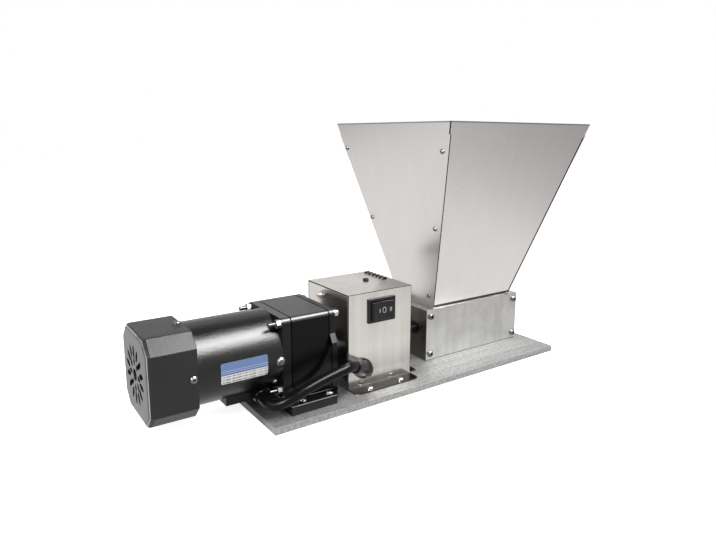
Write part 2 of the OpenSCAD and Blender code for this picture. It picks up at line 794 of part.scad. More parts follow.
module gearbox_housing() {
    cavity = frame / 2 - gearbox_wall;
    color([0.1, 0.1, 0.1]) difference() {
        along_x(gear_x0, shaft_y, motor_z) linear_extrude(gearbox_len) rounded_square(frame, frame_corner_r);
        difference() {
            union() {
                along_x(gear_x0 - 1, shaft_y, motor_z)
                    linear_extrude(mid_plate_x0 + mid_plate_thk - gear_x0 + 1) gearbox_cavity(cavity);
                along_x(gear_x0, shaft_y, motor_z)
                    linear_extrude(gearbox_len - front_wall) gearbox_cavity(cavity - mid_ledge);
            }
            rod(output_bearing_x0, plate_x0, boss_r);
        }
        rod(output_bearing_x0 - 1, output_bearing_x0 + output_bearing_len, bearing_r + run_fit);
        rod(output_bearing_x0, plate_x0 + 1, seal_r + run_fit);
        rod(plate_x0 - front_wall - 1, plate_x0 - 2, mid_shaft_r + run_fit, mid_y, mid_z);
        at_corners(bolt_off) along_x(gear_x0 - 1) cylinder(h = gearbox_len + 2, r = m5[0] + shank_fit);
    }
}

module gearbox_mid_plate() {
    color([0.55, 0.55, 0.57]) difference() {
        along_x(mid_plate_x0, shaft_y, motor_z) linear_extrude(mid_plate_thk - seat) difference() {
            square(frame - 2 * gearbox_wall - 2 * seat, center = true);
            for (y = [-1, 1], z = [-1, 1]) translate([y, z] * bolt_off) circle(bolt_column_r + seat);
        }
        rod(mid_plate_x0 - 1, mid_plate_x0 + mid_plate_thk + 1, output_shaft_d / 2 + run_fit);
        rod(mid_plate_x0 - 1, mid_plate_x0 + mid_plate_thk + 1,
            (pinion2_teeth / 2 + addendum) * stage2_module + open_gap, mid_y, mid_z);
    }
}

module through_bolts() {
    gripped = bracket_plate + gearbox_len + flange_thk + 2 * washer_thk;
    color("silver") at_corners(bolt_off) translate([plate_x1, 0, 0]) rotate([0, 90, 0]) {
        plain_washer();
        translate([0, 0, washer_thk]) screw(through_bolt, gripped + nut_h + bolt_tail);
    }
}

module through_nuts() {
    color("silver") at_corners(bolt_off) difference() {
        union() {
            along_x(flange_x0 - washer_thk) cylinder(h = washer_thk, r = washer_r);
            along_x(flange_x0 - washer_thk - nut_h) cylinder(h = nut_h, r = nut_r, $fn = 6);
        }
        along_x(flange_x0 - washer_thk - nut_h - 1)
            cylinder(h = washer_thk + nut_h + 2, r = m5[0] + shank_fit);
    }
}

module intermediate_gear() {
    color("silver") difference() {
        union() {
            along_x(stage1_x0, mid_y, mid_z) linear_extrude(stage1_len)
                polygon(gear_points(gear1_teeth, stage1_module, phase_gear1));
            along_x(stage1_x0 + stage1_len - 1, mid_y, mid_z)
                linear_extrude(stage2_x0 + stage2_len - stage1_x0 - stage1_len + 2)
                polygon(gear_points(pinion2_teeth, stage2_module, 0));
            rod(gear_x0 - 4.5, stage1_x0 + 1, mid_shaft_r, mid_y, mid_z);
            rod(stage2_x0 + stage2_len, plate_x0 - 2.5, mid_shaft_r, mid_y, mid_z);
        }
        for (a = [0 : 72 : 288]) translate([stage1_x0 - 1, mid_y, mid_z]) rotate([a, 0, 0])
            translate([0, 0, 11]) rotate([0, 90, 0]) cylinder(h = stage1_len, r = 2.4);
    }
}

module output_gear() {
    color("silver") difference() {
        along_x(stage2_x0, shaft_y, shaft_z) linear_extrude(stage2_len)
            polygon(gear_points(gear2_teeth, stage2_module, phase_gear2));
        rod(stage2_x0 - 1, stage2_x0 + stage2_len + 1, output_shaft_d / 2 + run_fit);
    }
}

module output_shaft() {
    color("gainsboro") rod(mid_plate_x0 + 0.5, output_end, output_shaft_d / 2);
}

module output_bearing() {
    color("gainsboro") difference() {
        rod(output_bearing_x0, output_bearing_x0 + output_bearing_len, bearing_r);
        rod(output_bearing_x0 - 1, output_bearing_x0 + output_bearing_len + 1, output_shaft_d / 2 + run_fit);
    }
}

module shaft_seal() {
    color([0.15, 0.1, 0.08]) difference() {
        rod(output_bearing_x0 + output_bearing_len + seat, plate_x0 - 0.5, seal_r);
        rod(output_bearing_x0, plate_x0 + 1, output_shaft_d / 2 + run_fit);
    }
}

// Bracket

module mounting_bracket() {
    color([0.12, 0.12, 0.12]) difference() {
        union() {
            bracket_upright();
            bracket_foot();
            for (side = [-1, 1]) bracket_gusset(side);
        }
        at_corners(bolt_off) along_x(plate_x0 - 1) cylinder(h = bracket_plate + 2, r = m5[0] + shank_fit);
        rod(plate_x0 - 1, plate_x1 + 1, boss_r);
        for (side = [-1, 1]) {
            translate([0, shaft_y, 0]) ear_channel(side);
            for (x = ear_bolt_x) translate([x, shaft_y + side * ear_bolt_y, 0])
                cylinder(h = foot_z + 1, r = m5[0] + shank_fit);
        }
    }
}

module bracket_upright() {
    top = motor_z + frame / 2;
    narrow = frame / 2;
    wide = bracket_wid / 2;
    corner = frame_corner_r;
    along_x(plate_x0, shaft_y) linear_extrude(bracket_plate) {
        polygon([[-wide, base_thk], [wide, base_thk], [wide, shoulder_z - shoulder_drop],
                 [narrow, shoulder_z], [narrow, top - corner], [narrow - corner, top],
                 [corner - narrow, top], [-narrow, top - corner], [-narrow, shoulder_z],
                 [-wide, shoulder_z - shoulder_drop]]);
        for (side = [-1, 1]) translate([side * (narrow - corner), top - corner]) circle(corner);
    }
}

module bracket_foot() {
    ear = foot_wid / 2;
    wide = bracket_wid / 2;
    translate([0, shaft_y, base_thk]) linear_extrude(foot_thk)
        polygon([[foot_x0, -ear], [plate_x1 - ear_end_inset, -ear], [plate_x1, -wide], [plate_x1, wide],
                 [plate_x1 - ear_end_inset, ear], [foot_x0, ear]]);
}

module ear_channel(side) {
    outer = foot_wid / 2 - lip_wid;
    inner = bracket_wid / 2;
    translate([0, 0, foot_z - channel_depth]) linear_extrude(channel_depth + 1)
        polygon([[foot_x0 + lip_wid, side * inner], [foot_x0 + lip_wid, side * outer],
                 [plate_x1 - ear_end_inset - lip_wid, side * outer],
                 [plate_x1 - lip_wid, side * inner]]);
}

module bracket_gusset(side) {
    y0 = shaft_y + side * (bracket_wid / 2 - gusset_thk / 2);
    low_x = plate_x0 - sqrt(pow(gusset_r, 2) - pow(gusset_low + gusset_r - gusset_top, 2));
    z0 = base_thk;
    translate([0, y0 + gusset_thk / 2, 0]) rotate([90, 0, 0]) linear_extrude(gusset_thk) difference() {
        polygon([[foot_x0, z0 + 1], [plate_x0 + 1, z0 + 1], [plate_x0 + 1, z0 + gusset_top],
                 [plate_x0, z0 + gusset_top], [low_x, z0 + gusset_low], [foot_x0, z0 + gusset_low - 3]]);
        translate([low_x, z0 + gusset_low + gusset_r]) circle(gusset_r, $fn = 128);
    }
}

module foot_bolts() {
    color("silver") for (x = ear_bolt_x, side = [-1, 1])
        translate([x, shaft_y + side * ear_bolt_y, foot_z - channel_depth]) {
            plain_washer();
            translate([0, 0, washer_thk])
                screw(foot_bolt, washer_thk + foot_thk - channel_depth + base_thk - 0.5);
        }
}

// Coupling

module coupling_hub(face, dir, bore) {
    along_x(face, shaft_y, shaft_z) rotate([0, dir > 0 ? 0 : 180, 0]) difference() {
        union() {
            translate([0, 0, hub_gap]) cylinder(h = hub_len, r = coupling_d / 2);
            for (k = [0 : 2]) rotate(120 * k + 60) translate([0, 0, 1 - spider_thk])
                linear_extrude(spider_thk + hub_gap) difference() {
                    sector(coupling_d / 2 - jaw_step, jaw_angle);
                    circle(jaw_r0);
                }
        }
        translate([0, 0, -1]) cylinder(h = hub_len + 3, r = bore / 2 + run_fit);
        translate([0, 0, hub_gap + hub_len / 2]) rotate([-90, 0, 0])
            cylinder(h = coupling_d, r = m5[0] + shank_fit);
    }
}

module coupling_motor_hub() {
    color("lightsteelblue") coupling_hub(spider_x0, -1, output_shaft_d);
}

module coupling_mill_hub() {
    color("lightsteelblue") coupling_hub(spider_x1, 1, drive_shaft_d);
}

module coupling_spider() {
    color([0.75, 0.2, 0.12]) along_x(spider_x0, shaft_y, shaft_z) linear_extrude(spider_thk) difference() {
        union() {
            circle(spider_ring_r);
            for (k = [0 : 5]) rotate(30 + 60 * k) sector(coupling_d / 2 - 0.5, leg_angle);
        }
        circle(4);
    }
}

module coupling_set_screws() {
    color([0.3, 0.3, 0.3]) for (hub = [[spider_x0 - hub_gap - hub_len / 2, output_shaft_d / 2],
                                       [spider_x1 + hub_gap + hub_len / 2, drive_shaft_d / 2]])
        translate([hub[0], shaft_y, shaft_z + hub[1] + seat]) difference() {
            cylinder(h = coupling_d / 2 - hub[1] - seat - 1, r = m5[0]);
            translate([0, 0, coupling_d / 2 - hub[1] - 3]) cylinder(h = 4, r = 1.4, $fn = 6);
        }
}

// Control box

// Flange with two rounded outer corners, drawn from its bend line towards +Y
module flange_shape(length, depth) {
    translate([0, -box_wall]) square([length, depth + box_wall - flange_corner_r]);
    translate([flange_corner_r, 0]) square([length - 2 * flange_corner_r, depth]);
    for (x = [flange_corner_r, length - flange_corner_r])
        translate([x, depth - flange_corner_r]) circle(flange_corner_r);
}

module flange_screw_holes() {
    for (p = box_screw_places) translate([p[0], p[1], -1])
        cylinder(h = base_thk + box_wall + 2, r = m4[0] + shank_fit);
}

module box_cover() {
    color("gainsboro") difference() {
        union() {
            block(box_x0, box_x1, box_y0, box_y0 + box_wall, base_thk, box_top);
            block(box_x0, box_x1, box_y1 - box_wall, box_y1, base_thk, box_top);
            block(box_x0, box_x1, box_y0, box_y1, box_top - box_wall, box_top);
            translate([box_x1, box_y0, base_thk]) rotate(180) linear_extrude(box_wall)
                flange_shape(box_len, box_flange);
            translate([box_x0, box_y1, base_thk]) linear_extrude(box_wall)
                flange_shape(box_len, box_flange);
            for (k = [0 : louvres - 1]) louvre_at(k) louvre_hood();
        }
        flange_screw_holes();
        block(switch_x - switch_w / 2 + body_inset - seat, switch_x + switch_w / 2 - body_inset + seat,
              box_y0 - 1, box_y0 + box_wall + 1,
              switch_cz - switch_h / 2 + body_inset - seat, switch_cz + switch_h / 2 - body_inset + seat);
        translate(boot_at - [0, 1, 0]) rotate([-90, 0, 0]) cylinder(h = box_wall + 2, r = lead_d / 2 + 2.7);
        translate([gland_x, box_y1 - box_wall - 1, gland_z]) rotate([-90, 0, 0])
            cylinder(h = box_wall + 2, r = gland_r + shank_fit);
        translate([strap_x, strap_screw_y, box_top - box_wall - 1])
            cylinder(h = box_wall + 2, r = m4[0] + shank_fit);
        for (k = [0 : louvres - 1]) louvre_at(k) translate([louvre_wall, 0, -box_wall - 1])
            cube([louvre_len - 2 * louvre_wall, louvre_r - 2 * louvre_wall, box_wall + 1.8]);
    }
}

module louvre_at(k) {
    translate([box_x1 - 12, box_y1 - 9 - louvre_pitch * k, box_top]) children();
}

// Pressed hood over a slot, open towards the front
module louvre_hood() {
    difference() {
        rotate([0, 90, 0]) cylinder(h = louvre_len, r = louvre_r);
        translate([louvre_wall, 0, 0]) rotate([0, 90, 0])
            cylinder(h = louvre_len - 2 * louvre_wall, r = louvre_r - louvre_wall);
        translate([-1, -far, -far]) cube([louvre_len + 2, far, 2 * far]);
        translate([-1, -1, -far]) cube([louvre_len + 2, far, far - eps]);
    }
}

// Upright of a side panel between the cover's front and back
module side_upright(x) {
    block(x, x + box_wall, side_y0, side_y1, base_thk, box_top - box_wall - panel_gap);
}

module box_left_panel() {
    color("gainsboro") difference() {
        union() {
            side_upright(box_x0);
            block(box_x0, box_x0 + inner_flange, side_y0, side_y1, base_thk, base_thk + box_wall);
        }
        rod(box_x0 - 1, box_x0 + box_wall + 1, shaft_hole_r);
    }
}

module box_right_panel() {
    color("gainsboro") difference() {
        union() {
            side_upright(box_x1 - box_wall);
            translate([box_x1, side_y1, base_thk]) rotate(-90) linear_extrude(box_wall)
                flange_shape(side_y1 - side_y0, side_flange);
        }
        rod(box_x1 - box_wall - 1, box_x1 + 1, shaft_hole_r);
        flange_screw_holes();
    }
}

module box_screws() {
    color("silver") {
        for (p = box_screw_places) translate([p[0], p[1], base_thk + box_wall])
            screw(m4, box_wall + base_thk - 1);
        translate([strap_x, strap_screw_y, box_top]) screw(m4, 8);
    }
}

module switch_housing() {
    color([0.07, 0.07, 0.07]) difference() {
        union() {
            block(switch_x - switch_w / 2, switch_x + switch_w / 2, box_y0 - bezel_thk, box_y0,
                  switch_cz - switch_h / 2, switch_cz + switch_h / 2);
            block(switch_x - switch_w / 2 + body_inset, switch_x + switch_w / 2 - body_inset,
                  box_y0 - 1, box_y0 + switch_depth,
                  switch_cz - switch_h / 2 + body_inset, switch_cz + switch_h / 2 - body_inset);
        }
        translate([switch_x, pivot_y, switch_cz - rocker_h / 2 - open_gap])
            cylinder(h = rocker_h + 2 * open_gap, r = rocker_r + open_gap);
        translate([switch_x, pivot_y, switch_cz - rocker_h / 2 - trunnion_len])
            cylinder(h = rocker_h + 2 * trunnion_len, r = trunnion_r + run_fit);
        for (p = blade_places) translate([p[0] - blade[2] / 2, blade_y, p[1] - blade[0] / 2])
            cube([blade[2], 5, blade[0]]);
    }
}

blade_places = [for (x = [-11, 0, 11], z = [-6, 6]) [switch_x + x, switch_cz + z]];

module switch_rocker() {
    color([0.05, 0.05, 0.05]) {
        translate([switch_x, pivot_y, switch_cz - rocker_h / 2]) linear_extrude(rocker_h) intersection() {
            circle(rocker_r);
            polygon([[-rocker_r, -rocker_front], [0, rocker_dip - rocker_front],
                     [rocker_r, -rocker_front], [rocker_r, rocker_back], [-rocker_r, rocker_back]]);
        }
        translate([switch_x, pivot_y, switch_cz - rocker_h / 2 - trunnion_len + seat])
            cylinder(h = rocker_h + 2 * trunnion_len - 2 * seat, r = trunnion_r);
    }
}

module switch_terminals() {
    color("goldenrod") for (p = blade_places)
        translate([p[0] - blade[2] / 2 + seat, blade_y + seat, p[1] - blade[0] / 2 + run_fit])
        cube([blade[2] - 2 * seat, blade[1], blade[0] - 2 * run_fit]);
}

module lead_boot() {
    tilt = [0, acos(boot_dir[2] / boot_len), atan2(boot_dir[1], boot_dir[0])];
    neck_r = lead_d / 2 + 2.5;
    color([0.06, 0.06, 0.06]) difference() {
        union() {
            difference() {
                translate(boot_root) {
                    sphere(boot_flange_r - 0.8);
                    rotate(tilt) cylinder(h = boot_len, r1 = boot_flange_r - 2.5, r2 = lead_d / 2 + 1.6);
                }
                block(-far, far, box_y0 - boot_flange_thk / 2, far, -far, far);
            }
            translate(boot_at) rotate([90, 0, 0]) cylinder(h = boot_flange_thk, r = boot_flange_r);
            translate(boot_at) rotate([-90, 0, 0]) translate([0, 0, -1])
                cylinder(h = 2 + box_wall + seat, r = neck_r);
            translate(boot_at + [0, box_wall + seat, 0]) rotate([-90, 0, 0])
                cylinder(h = boot_lip_thk, r = neck_r + 2);
        }
        translate(lead_end - seat * boot_dir / boot_len) rotate(tilt) lead_socket_bore();
    }
}

module mains_gland() {
    color([0.1, 0.1, 0.1]) translate([gland_x, box_y1, gland_z]) rotate([-90, 0, 0]) difference() {
        union() {
            cylinder(h = 6, r = gland_r + 3, $fn = 6);
            translate([0, 0, 6]) cylinder(h = 9, r1 = gland_r + 1, r2 = gland_r - 2);
            translate([0, 0, -box_wall - 7]) cylinder(h = box_wall + 8, r = gland_r);
            translate([0, 0, -box_wall - 5]) cylinder(h = 5, r = gland_r + 3, $fn = 6);
        }
        translate([0, 0, -box_wall - 8]) cylinder(h = box_wall + 25, r = gland_bore_r);
    }
}

module run_capacitor() {
    color("whitesmoke") {
        rod(capacitor_x0, capacitor_x0 + capacitor_len, capacitor_r, capacitor_y, capacitor_z);
        for (z = [-5, 5]) translate([capacitor_x0 - 5, capacitor_y - 3, capacitor_z + z])
            cube([6, 6, 0.8]);
    }
}

module capacitor_clamp() {
    top = box_top - box_wall - seat;
    color("silver") difference() {
        union() {
            rod(strap_x - strap_wid / 2, strap_x + strap_wid / 2, capacitor_r + seat + strap_thk,
                capacitor_y, capacitor_z);
            block(strap_x - strap_wid / 2, strap_x + strap_wid / 2, strap_screw_y - 7, capacitor_y,
                  top - strap_thk, top);
        }
        rod(strap_x - strap_wid, strap_x + strap_wid, capacitor_r + seat / 2, capacitor_y, capacitor_z);
        translate([strap_x, strap_screw_y, top - 5]) cylinder(h = 10, r = m4[0] + shank_fit);
    }
}

// Mill body

module mill_side_plate(side) {
    y0 = side > 0 ? throat_y : -mill_wid / 2;
    difference() {
        block(mill_x0, mill_x1, y0, y0 + mill_side_thk, base_thk, mill_top);
        for (x = [mill_x0 + end_screw_x, mill_x1 - end_screw_x], z = [base_thk, mill_top])
            translate([x, y0 - 1, z + (z > base_thk ? -1 : 1) * plate_screw_inset]) rotate([-90, 0, 0])
            cylinder(h = mill_side_thk + 2, r = m5[0] + shank_fit);
    }
}

module mill_front_plate() { color("silver") mill_side_plate(-1); }

module mill_rear_plate() { color("silver") mill_side_plate(1); }

module mill_end_plate(x0) {
    cx = x0 + end_screw_x;
    difference() {
        block(x0, x0 + mill_end_thk, -throat_y, throat_y, base_thk, mill_top);
        rod(x0 - 1, x0 + mill_end_thk + 1, bush_d / 2 + run_fit);
        rod(x0 - 1, x0 + mill_end_thk + 1, adjuster_d / 2 + run_fit, axis_y, bush_z);
        for (y = [-1, 1], z = [base_thk + plate_screw_inset, mill_top - plate_screw_inset])
            translate([cx, y * throat_y, z]) rotate([y * 90, 0, 0]) translate([0, 0, -1])
            cylinder(h = plate_screw_len + 2, r = m5[0] + shank_fit);
        for (y = [-1, 1]) translate([cx, y * base_screw_y, base_thk - 1])
            cylinder(h = base_screw_len + 2, r = m5[0] + shank_fit);
        translate([cx, axis_y, shaft_z]) cylinder(h = mill_h, r = m5[0] + shank_fit);
    }
}

module mill_left_plate() { color("silver") mill_end_plate(mill_x0); }

module mill_right_plate() { color("silver") mill_end_plate(mill_x1 - mill_end_thk); }

module mill_screws() {
    color("gainsboro") for (x = [mill_x0 + end_screw_x, mill_x1 - end_screw_x]) {
        for (y = [-1, 1], z = [base_thk + plate_screw_inset, mill_top - plate_screw_inset])
            translate([x, y * mill_wid / 2, z]) rotate([-y * 90, 0, 0])
            screw(m5, mill_side_thk + plate_screw_len - 1);
        for (y = [-1, 1]) translate([x, y * base_screw_y, counterbore_h]) rotate([180, 0, 0])
            screw(m5, base_thk - counterbore_h + base_screw_len - 1);
    }
}

// Fluted roller body between the end plates
module roller_body(y) {
    r = roller_d / 2;
    along_x(roller_x0, y, shaft_z) linear_extrude(roller_x1 - roller_x0)
        polygon([for (k = [0 : 2 * roller_flutes - 1]) let (a = 180 * (k + 0.5) / roller_flutes)
            (k % 2 == 0 ? r : r - flute_depth) * [cos(a), sin(a)]]);
}

module driven_roller() {
    color("silver") {
        roller_body(shaft_y);
        rod(drive_end, roller_x0 + 1, drive_shaft_d / 2);
        rod(roller_x1 - 1, mill_x1 - journal_cap, drive_shaft_d / 2);
    }
}

module idle_roller() {
    color("silver") {
        roller_body(axis_y);
        rod(mill_x0 + journal_cap, mill_x1 - journal_cap, journal_d / 2, axis_y);
    }
}

module roller_bushes() {
    color("peru") for (x = [mill_x0, mill_x1 - mill_end_thk]) difference() {
        rod(x, x + mill_end_thk, bush_d / 2, shaft_y);
        rod(x - 1, x + mill_end_thk + 1, drive_shaft_d / 2 + run_fit);
    }
}

// Eccentric bush with its knob towards dir; its bore holds the idle roller's journal
module gap_adjuster(face, dir) {
    difference() {
        translate([face, axis_y, bush_z]) rotate([0, dir * 90, 0]) union() {
            translate([0, 0, -mill_end_thk]) cylinder(h = mill_end_thk + 1, r = adjuster_d / 2);
            translate([0, 0, open_gap]) difference() {
                cylinder(h = knob_thk, r = knob_d / 2);
                for (k = [0 : 19]) rotate(18 * k) translate([knob_d / 2 + 0.4, 0, -1])
                    cylinder(h = knob_thk + 2, r = 1.4);
            }
            rotate(90) translate([0, 0, knob_thk + open_gap - eps]) linear_extrude(7)
                polygon([[-3.5, -13], [3.5, -13], [3.5, 13], [0, 15.5], [-3.5, 13]]);
        }
        translate([face - dir * (mill_end_thk + 1), axis_y, shaft_z]) rotate([0, dir * 90, 0])
            cylinder(h = mill_end_thk + 1 - journal_cap + 0.5, r = journal_d / 2 + run_fit);
    }
}

module left_gap_adjuster() { color([0.15, 0.15, 0.15]) gap_adjuster(mill_x0, -1); }

module right_gap_adjuster() { color([0.15, 0.15, 0.15]) gap_adjuster(mill_x1, 1); }

module adjuster_lock_screws() {
    low = bush_z + adjuster_d / 2 + open_gap;
    color([0.25, 0.25, 0.25]) for (x = [mill_x0 + end_screw_x, mill_x1 - end_screw_x])
        translate([x, axis_y, low]) difference() {
            cylinder(h = mill_top - 1.5 - low, r = m5[0]);
            translate([0, 0, mill_top - 4 - low]) cylinder(h = 4, r = 1.4, $fn = 6);
        }
}

// Hopper

// Solid between the hopper's slopes from z0 to z1, moved in by inset_x and inset_y
module funnel(inset_x, inset_y, z0, z1) {
    x0 = hopper_half_x(z0) - inset_x;
    x1 = hopper_half_x(z1) - inset_x;
    y0 = hopper_half_y(z0) - inset_y;
    y1 = hopper_half_y(z1) - inset_y;
    intersection() {
        translate([mill_cx, far, 0]) rotate([90, 0, 0]) linear_extrude(2 * far)
            polygon([[-x0, z0], [x0, z0], [x1, z1], [-x1, z1]]);
        along_x(-far) linear_extrude(2 * far)
            polygon([[-y0, z0], [y0, z0], [y1, z1], [-y1, z1]]);
    }
}

// Axis of each panel screw on the left side, with +Z pointing out of the panel
module hopper_screw_axes() {
    for (z = hopper_screw_zs, side = [-1, 1]) {
        inset = side < 0 ? screw_inset_front : screw_inset_rear;
        translate([mill_cx - hopper_half_x(z), side * (hopper_half_y(z) - inset), z])
            rotate([0, -90 - side_slope, 0]) children();
    }
}

module hopper_screw_holes() {
    for (m = [0, 1]) translate([mill_cx, 0, 0]) mirror([m, 0, 0]) translate([-mill_cx, 0, 0])
        hopper_screw_axes() translate([0, 0, -5]) cylinder(h = 8, r = m3[0] + shank_fit);
}

// Front or rear panel with its folded side flanges and the hem at the mouth
module hopper_end_panel(side) {
    t = hopper_wall;
    gap = 0.1;
    hem_z = hopper_z1 - hopper_hem;
    difference() {
        funnel(t + gap, 0, hopper_z0, hopper_z1);
        funnel(2 * t + gap, t, hopper_z0 - 1, hem_z);
        funnel(2 * t + gap, 2 * t, hem_z - eps, hopper_z1 + 1);
        funnel(open_side, hopper_flange, hopper_z0 - 1, hopper_z1 + 1);
        translate([-far, side < 0 ? 0 : -2 * far, 0]) cube(2 * far);
        hopper_screw_holes();
    }
}

module hopper_front_panel() { color("gainsboro") hopper_end_panel(-1); }

module hopper_rear_panel() { color("gainsboro") hopper_end_panel(1); }

// Left panel with the skirt that drops between the mill's side plates
module hopper_side_panel() {
    t = hopper_wall;
    skirt_y = throat_y - 1.5;
    notch_z = hopper_z1 - notch_h;
    difference() {
        union() {
            difference() {
                funnel(0, 0, mill_top, hopper_z1);
                funnel(t, open_side, mill_top - 1, hopper_z1 + 1);
                translate([mill_cx, -far, 0]) cube(2 * far);
                for (side = [-1, 1]) along_x(-far) linear_extrude(2 * far)
                    polygon([[side * far, notch_z], [side * (hopper_half_y(notch_z) - notch_wid), notch_z],
                             [side * (hopper_half_y(hopper_z1 + 1) - notch_wid), hopper_z1 + 1],
                             [side * far, hopper_z1 + 1]]);
            }
            block(mill_cx - side_half0, mill_cx - side_half0 + t, -skirt_y, skirt_y,
                  mill_top - skirt_h, mill_top);
        }
        hopper_screw_holes();
    }
}

module hopper_left_panel() { color("gainsboro") hopper_side_panel(); }

module hopper_right_panel() {
    color("gainsboro") translate([mill_cx, 0, 0]) mirror([1, 0, 0]) translate([-mill_cx, 0, 0])
        hopper_side_panel();
}

module hopper_screws() {
    color("silver") for (m = [0, 1]) translate([mill_cx, 0, 0]) mirror([m, 0, 0])
        translate([-mill_cx, 0, 0]) hopper_screw_axes() screw(m3, 3.6);
}

base_plate();
fan_cover();
fan_cover_screws();
cooling_fan();
motor_housing();
rear_end_shield();
motor_end_flange();
stator_core();
stator_windings();
rotor_core();
rotor_shaft();
motor_bearings();
lead_exit_box();
lead_gland();
motor_lead();
nameplate();
motor_side_screws();
gearbox_housing();
gearbox_mid_plate();
through_bolts();
through_nuts();
intermediate_gear();
output_gear();
output_shaft();
output_bearing();
shaft_seal();
mounting_bracket();
foot_bolts();
coupling_motor_hub();
coupling_mill_hub();
coupling_spider();
coupling_set_screws();
box_cover();
box_left_panel();
box_right_panel();
box_screws();
switch_housing();
switch_rocker();
switch_terminals();
lead_boot();
mains_gland();
run_capacitor();
capacitor_clamp();
mill_front_plate();
mill_rear_plate();
mill_left_plate();
mill_right_plate();
mill_screws();
driven_roller();
idle_roller();
roller_bushes();
left_gap_adjuster();
right_gap_adjuster();
adjuster_lock_screws();
hopper_front_panel();
hopper_rear_panel();
hopper_left_panel();
hopper_right_panel();
hopper_screws();
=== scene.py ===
import json
import math

import bmesh
import bpy
from mathutils import Matrix, Vector


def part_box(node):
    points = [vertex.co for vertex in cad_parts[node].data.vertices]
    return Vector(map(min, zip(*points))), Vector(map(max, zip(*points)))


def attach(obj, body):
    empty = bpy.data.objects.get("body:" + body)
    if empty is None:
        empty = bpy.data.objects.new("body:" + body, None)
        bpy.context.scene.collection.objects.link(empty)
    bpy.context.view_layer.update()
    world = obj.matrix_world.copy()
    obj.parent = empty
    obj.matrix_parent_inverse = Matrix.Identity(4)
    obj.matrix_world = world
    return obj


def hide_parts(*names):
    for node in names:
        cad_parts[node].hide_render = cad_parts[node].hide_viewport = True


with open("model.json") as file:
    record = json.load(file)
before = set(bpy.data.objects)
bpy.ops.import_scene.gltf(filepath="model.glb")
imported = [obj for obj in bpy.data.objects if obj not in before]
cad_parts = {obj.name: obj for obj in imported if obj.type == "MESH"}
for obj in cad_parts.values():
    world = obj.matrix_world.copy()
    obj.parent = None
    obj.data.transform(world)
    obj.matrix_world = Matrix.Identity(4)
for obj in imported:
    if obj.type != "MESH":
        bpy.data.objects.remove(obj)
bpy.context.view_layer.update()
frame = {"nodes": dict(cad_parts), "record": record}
record = frame["record"]
slotOf = {part["node"]: part["material_slot"] for part in record["subparts"]}
bodyOf = {node: body for body, nodes in record["behaviour"]["bodies"].items() for node in nodes}
mm = 0.001
print("frame loaded:", len(slotOf), "nodes")


# places taken from the frame

def endsOf(node, axis):
    # where a node begins and ends along X, Y or Z, in mm
    return [side["XYZ".index(axis)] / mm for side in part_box(node)]


def middleOf(node, axis):
    return sum(endsOf(node, axis)) / 2


# a point of the motor's axis, in metres
hub = Vector((0, middleOf("gearbox_housing", "Y"), middleOf("gearbox_housing", "Z"))) * mm
# where the flange, the gearbox and the bracket meet along that axis
motorJoints = endsOf("gearbox_housing", "X")
gearboxFoot, gearboxTop = endsOf("gearbox_housing", "Z")
flangeBack = endsOf("motor_end_flange", "X")[0]
coverBack = endsOf("fan_cover", "X")[0]
plateTop = endsOf("base_plate", "Z")[1]
millTop = endsOf("mill_front_plate", "Z")[1]
hopperTop = endsOf("hopper_front_panel", "Z")[1]
boxMiddle = middleOf("box_cover", "X")
boxHalf = endsOf("box_cover", "X")[1] - boxMiddle


def setStops(ramp, stops):
    while len(ramp.elements) < len(stops):
        ramp.elements.new(1)
    for element, (place, color) in zip(ramp.elements, stops):
        element.position = place
        element.color = (*color, 1)


class Wire:
    # a node socket that Python operators turn into Math nodes
    def __init__(self, tree, socket=None):
        self.tree = tree
        self.socket = socket

    def fill(self, node, inputs):
        # links a node's sockets to wires, or gives them values
        for key, value in inputs.items():
            if isinstance(value, Wire):
                self.tree.links.new(value.socket, node.inputs[key])
            else:
                node.inputs[key].default_value = value

    def make(self, kind, settings=None, inputs=None, output=0):
        node = self.tree.nodes.new(kind)
        for key, value in (settings or {}).items():
            if key == "stops":
                setStops(node.color_ramp, value)
            else:
                setattr(node, key, value)
        self.fill(node, inputs or {})
        return Wire(self.tree, node.outputs[output])

    def maths(self, operation, first, second=0):
        return self.make("ShaderNodeMath", {"operation": operation}, {0: first, 1: second})

    def __add__(self, other):
        return self.maths("ADD", self, other)

    __radd__ = __add__

    def __sub__(self, other):
        return self.maths("SUBTRACT", self, other)

    def __rsub__(self, other):
        return self.maths("SUBTRACT", other, self)

    def __mul__(self, other):
        return self.maths("MULTIPLY", self, other)

    __rmul__ = __mul__

    def __abs__(self):
        return self.maths("ABSOLUTE", self)

    def over(self, low, high):
        # 0 below low, 1 above high
        return self.make("ShaderNodeMapRange", {"interpolation_type": "SMOOTHSTEP"},
                         {"Value": self, "From Min": low, "From Max": high})

    def past(self, span):
        # 0 before a span in mm, 1 past it
        return self.over(span[0] * mm, span[1] * mm)

    def before(self, span):
        return 1 - self.past(span)


# camera, at the photograph's place
cameraPlace = {
    "location": (-0.47847, -0.62635, 0.31027),
    "heading": 35.101,
    "dip": 10.619,
    "roll": 0.336,
    "lens": 29.843,
    "sensor": 36,
    "shift": (-0.01314, -0.03148),
    "nearest": 0.01,
}


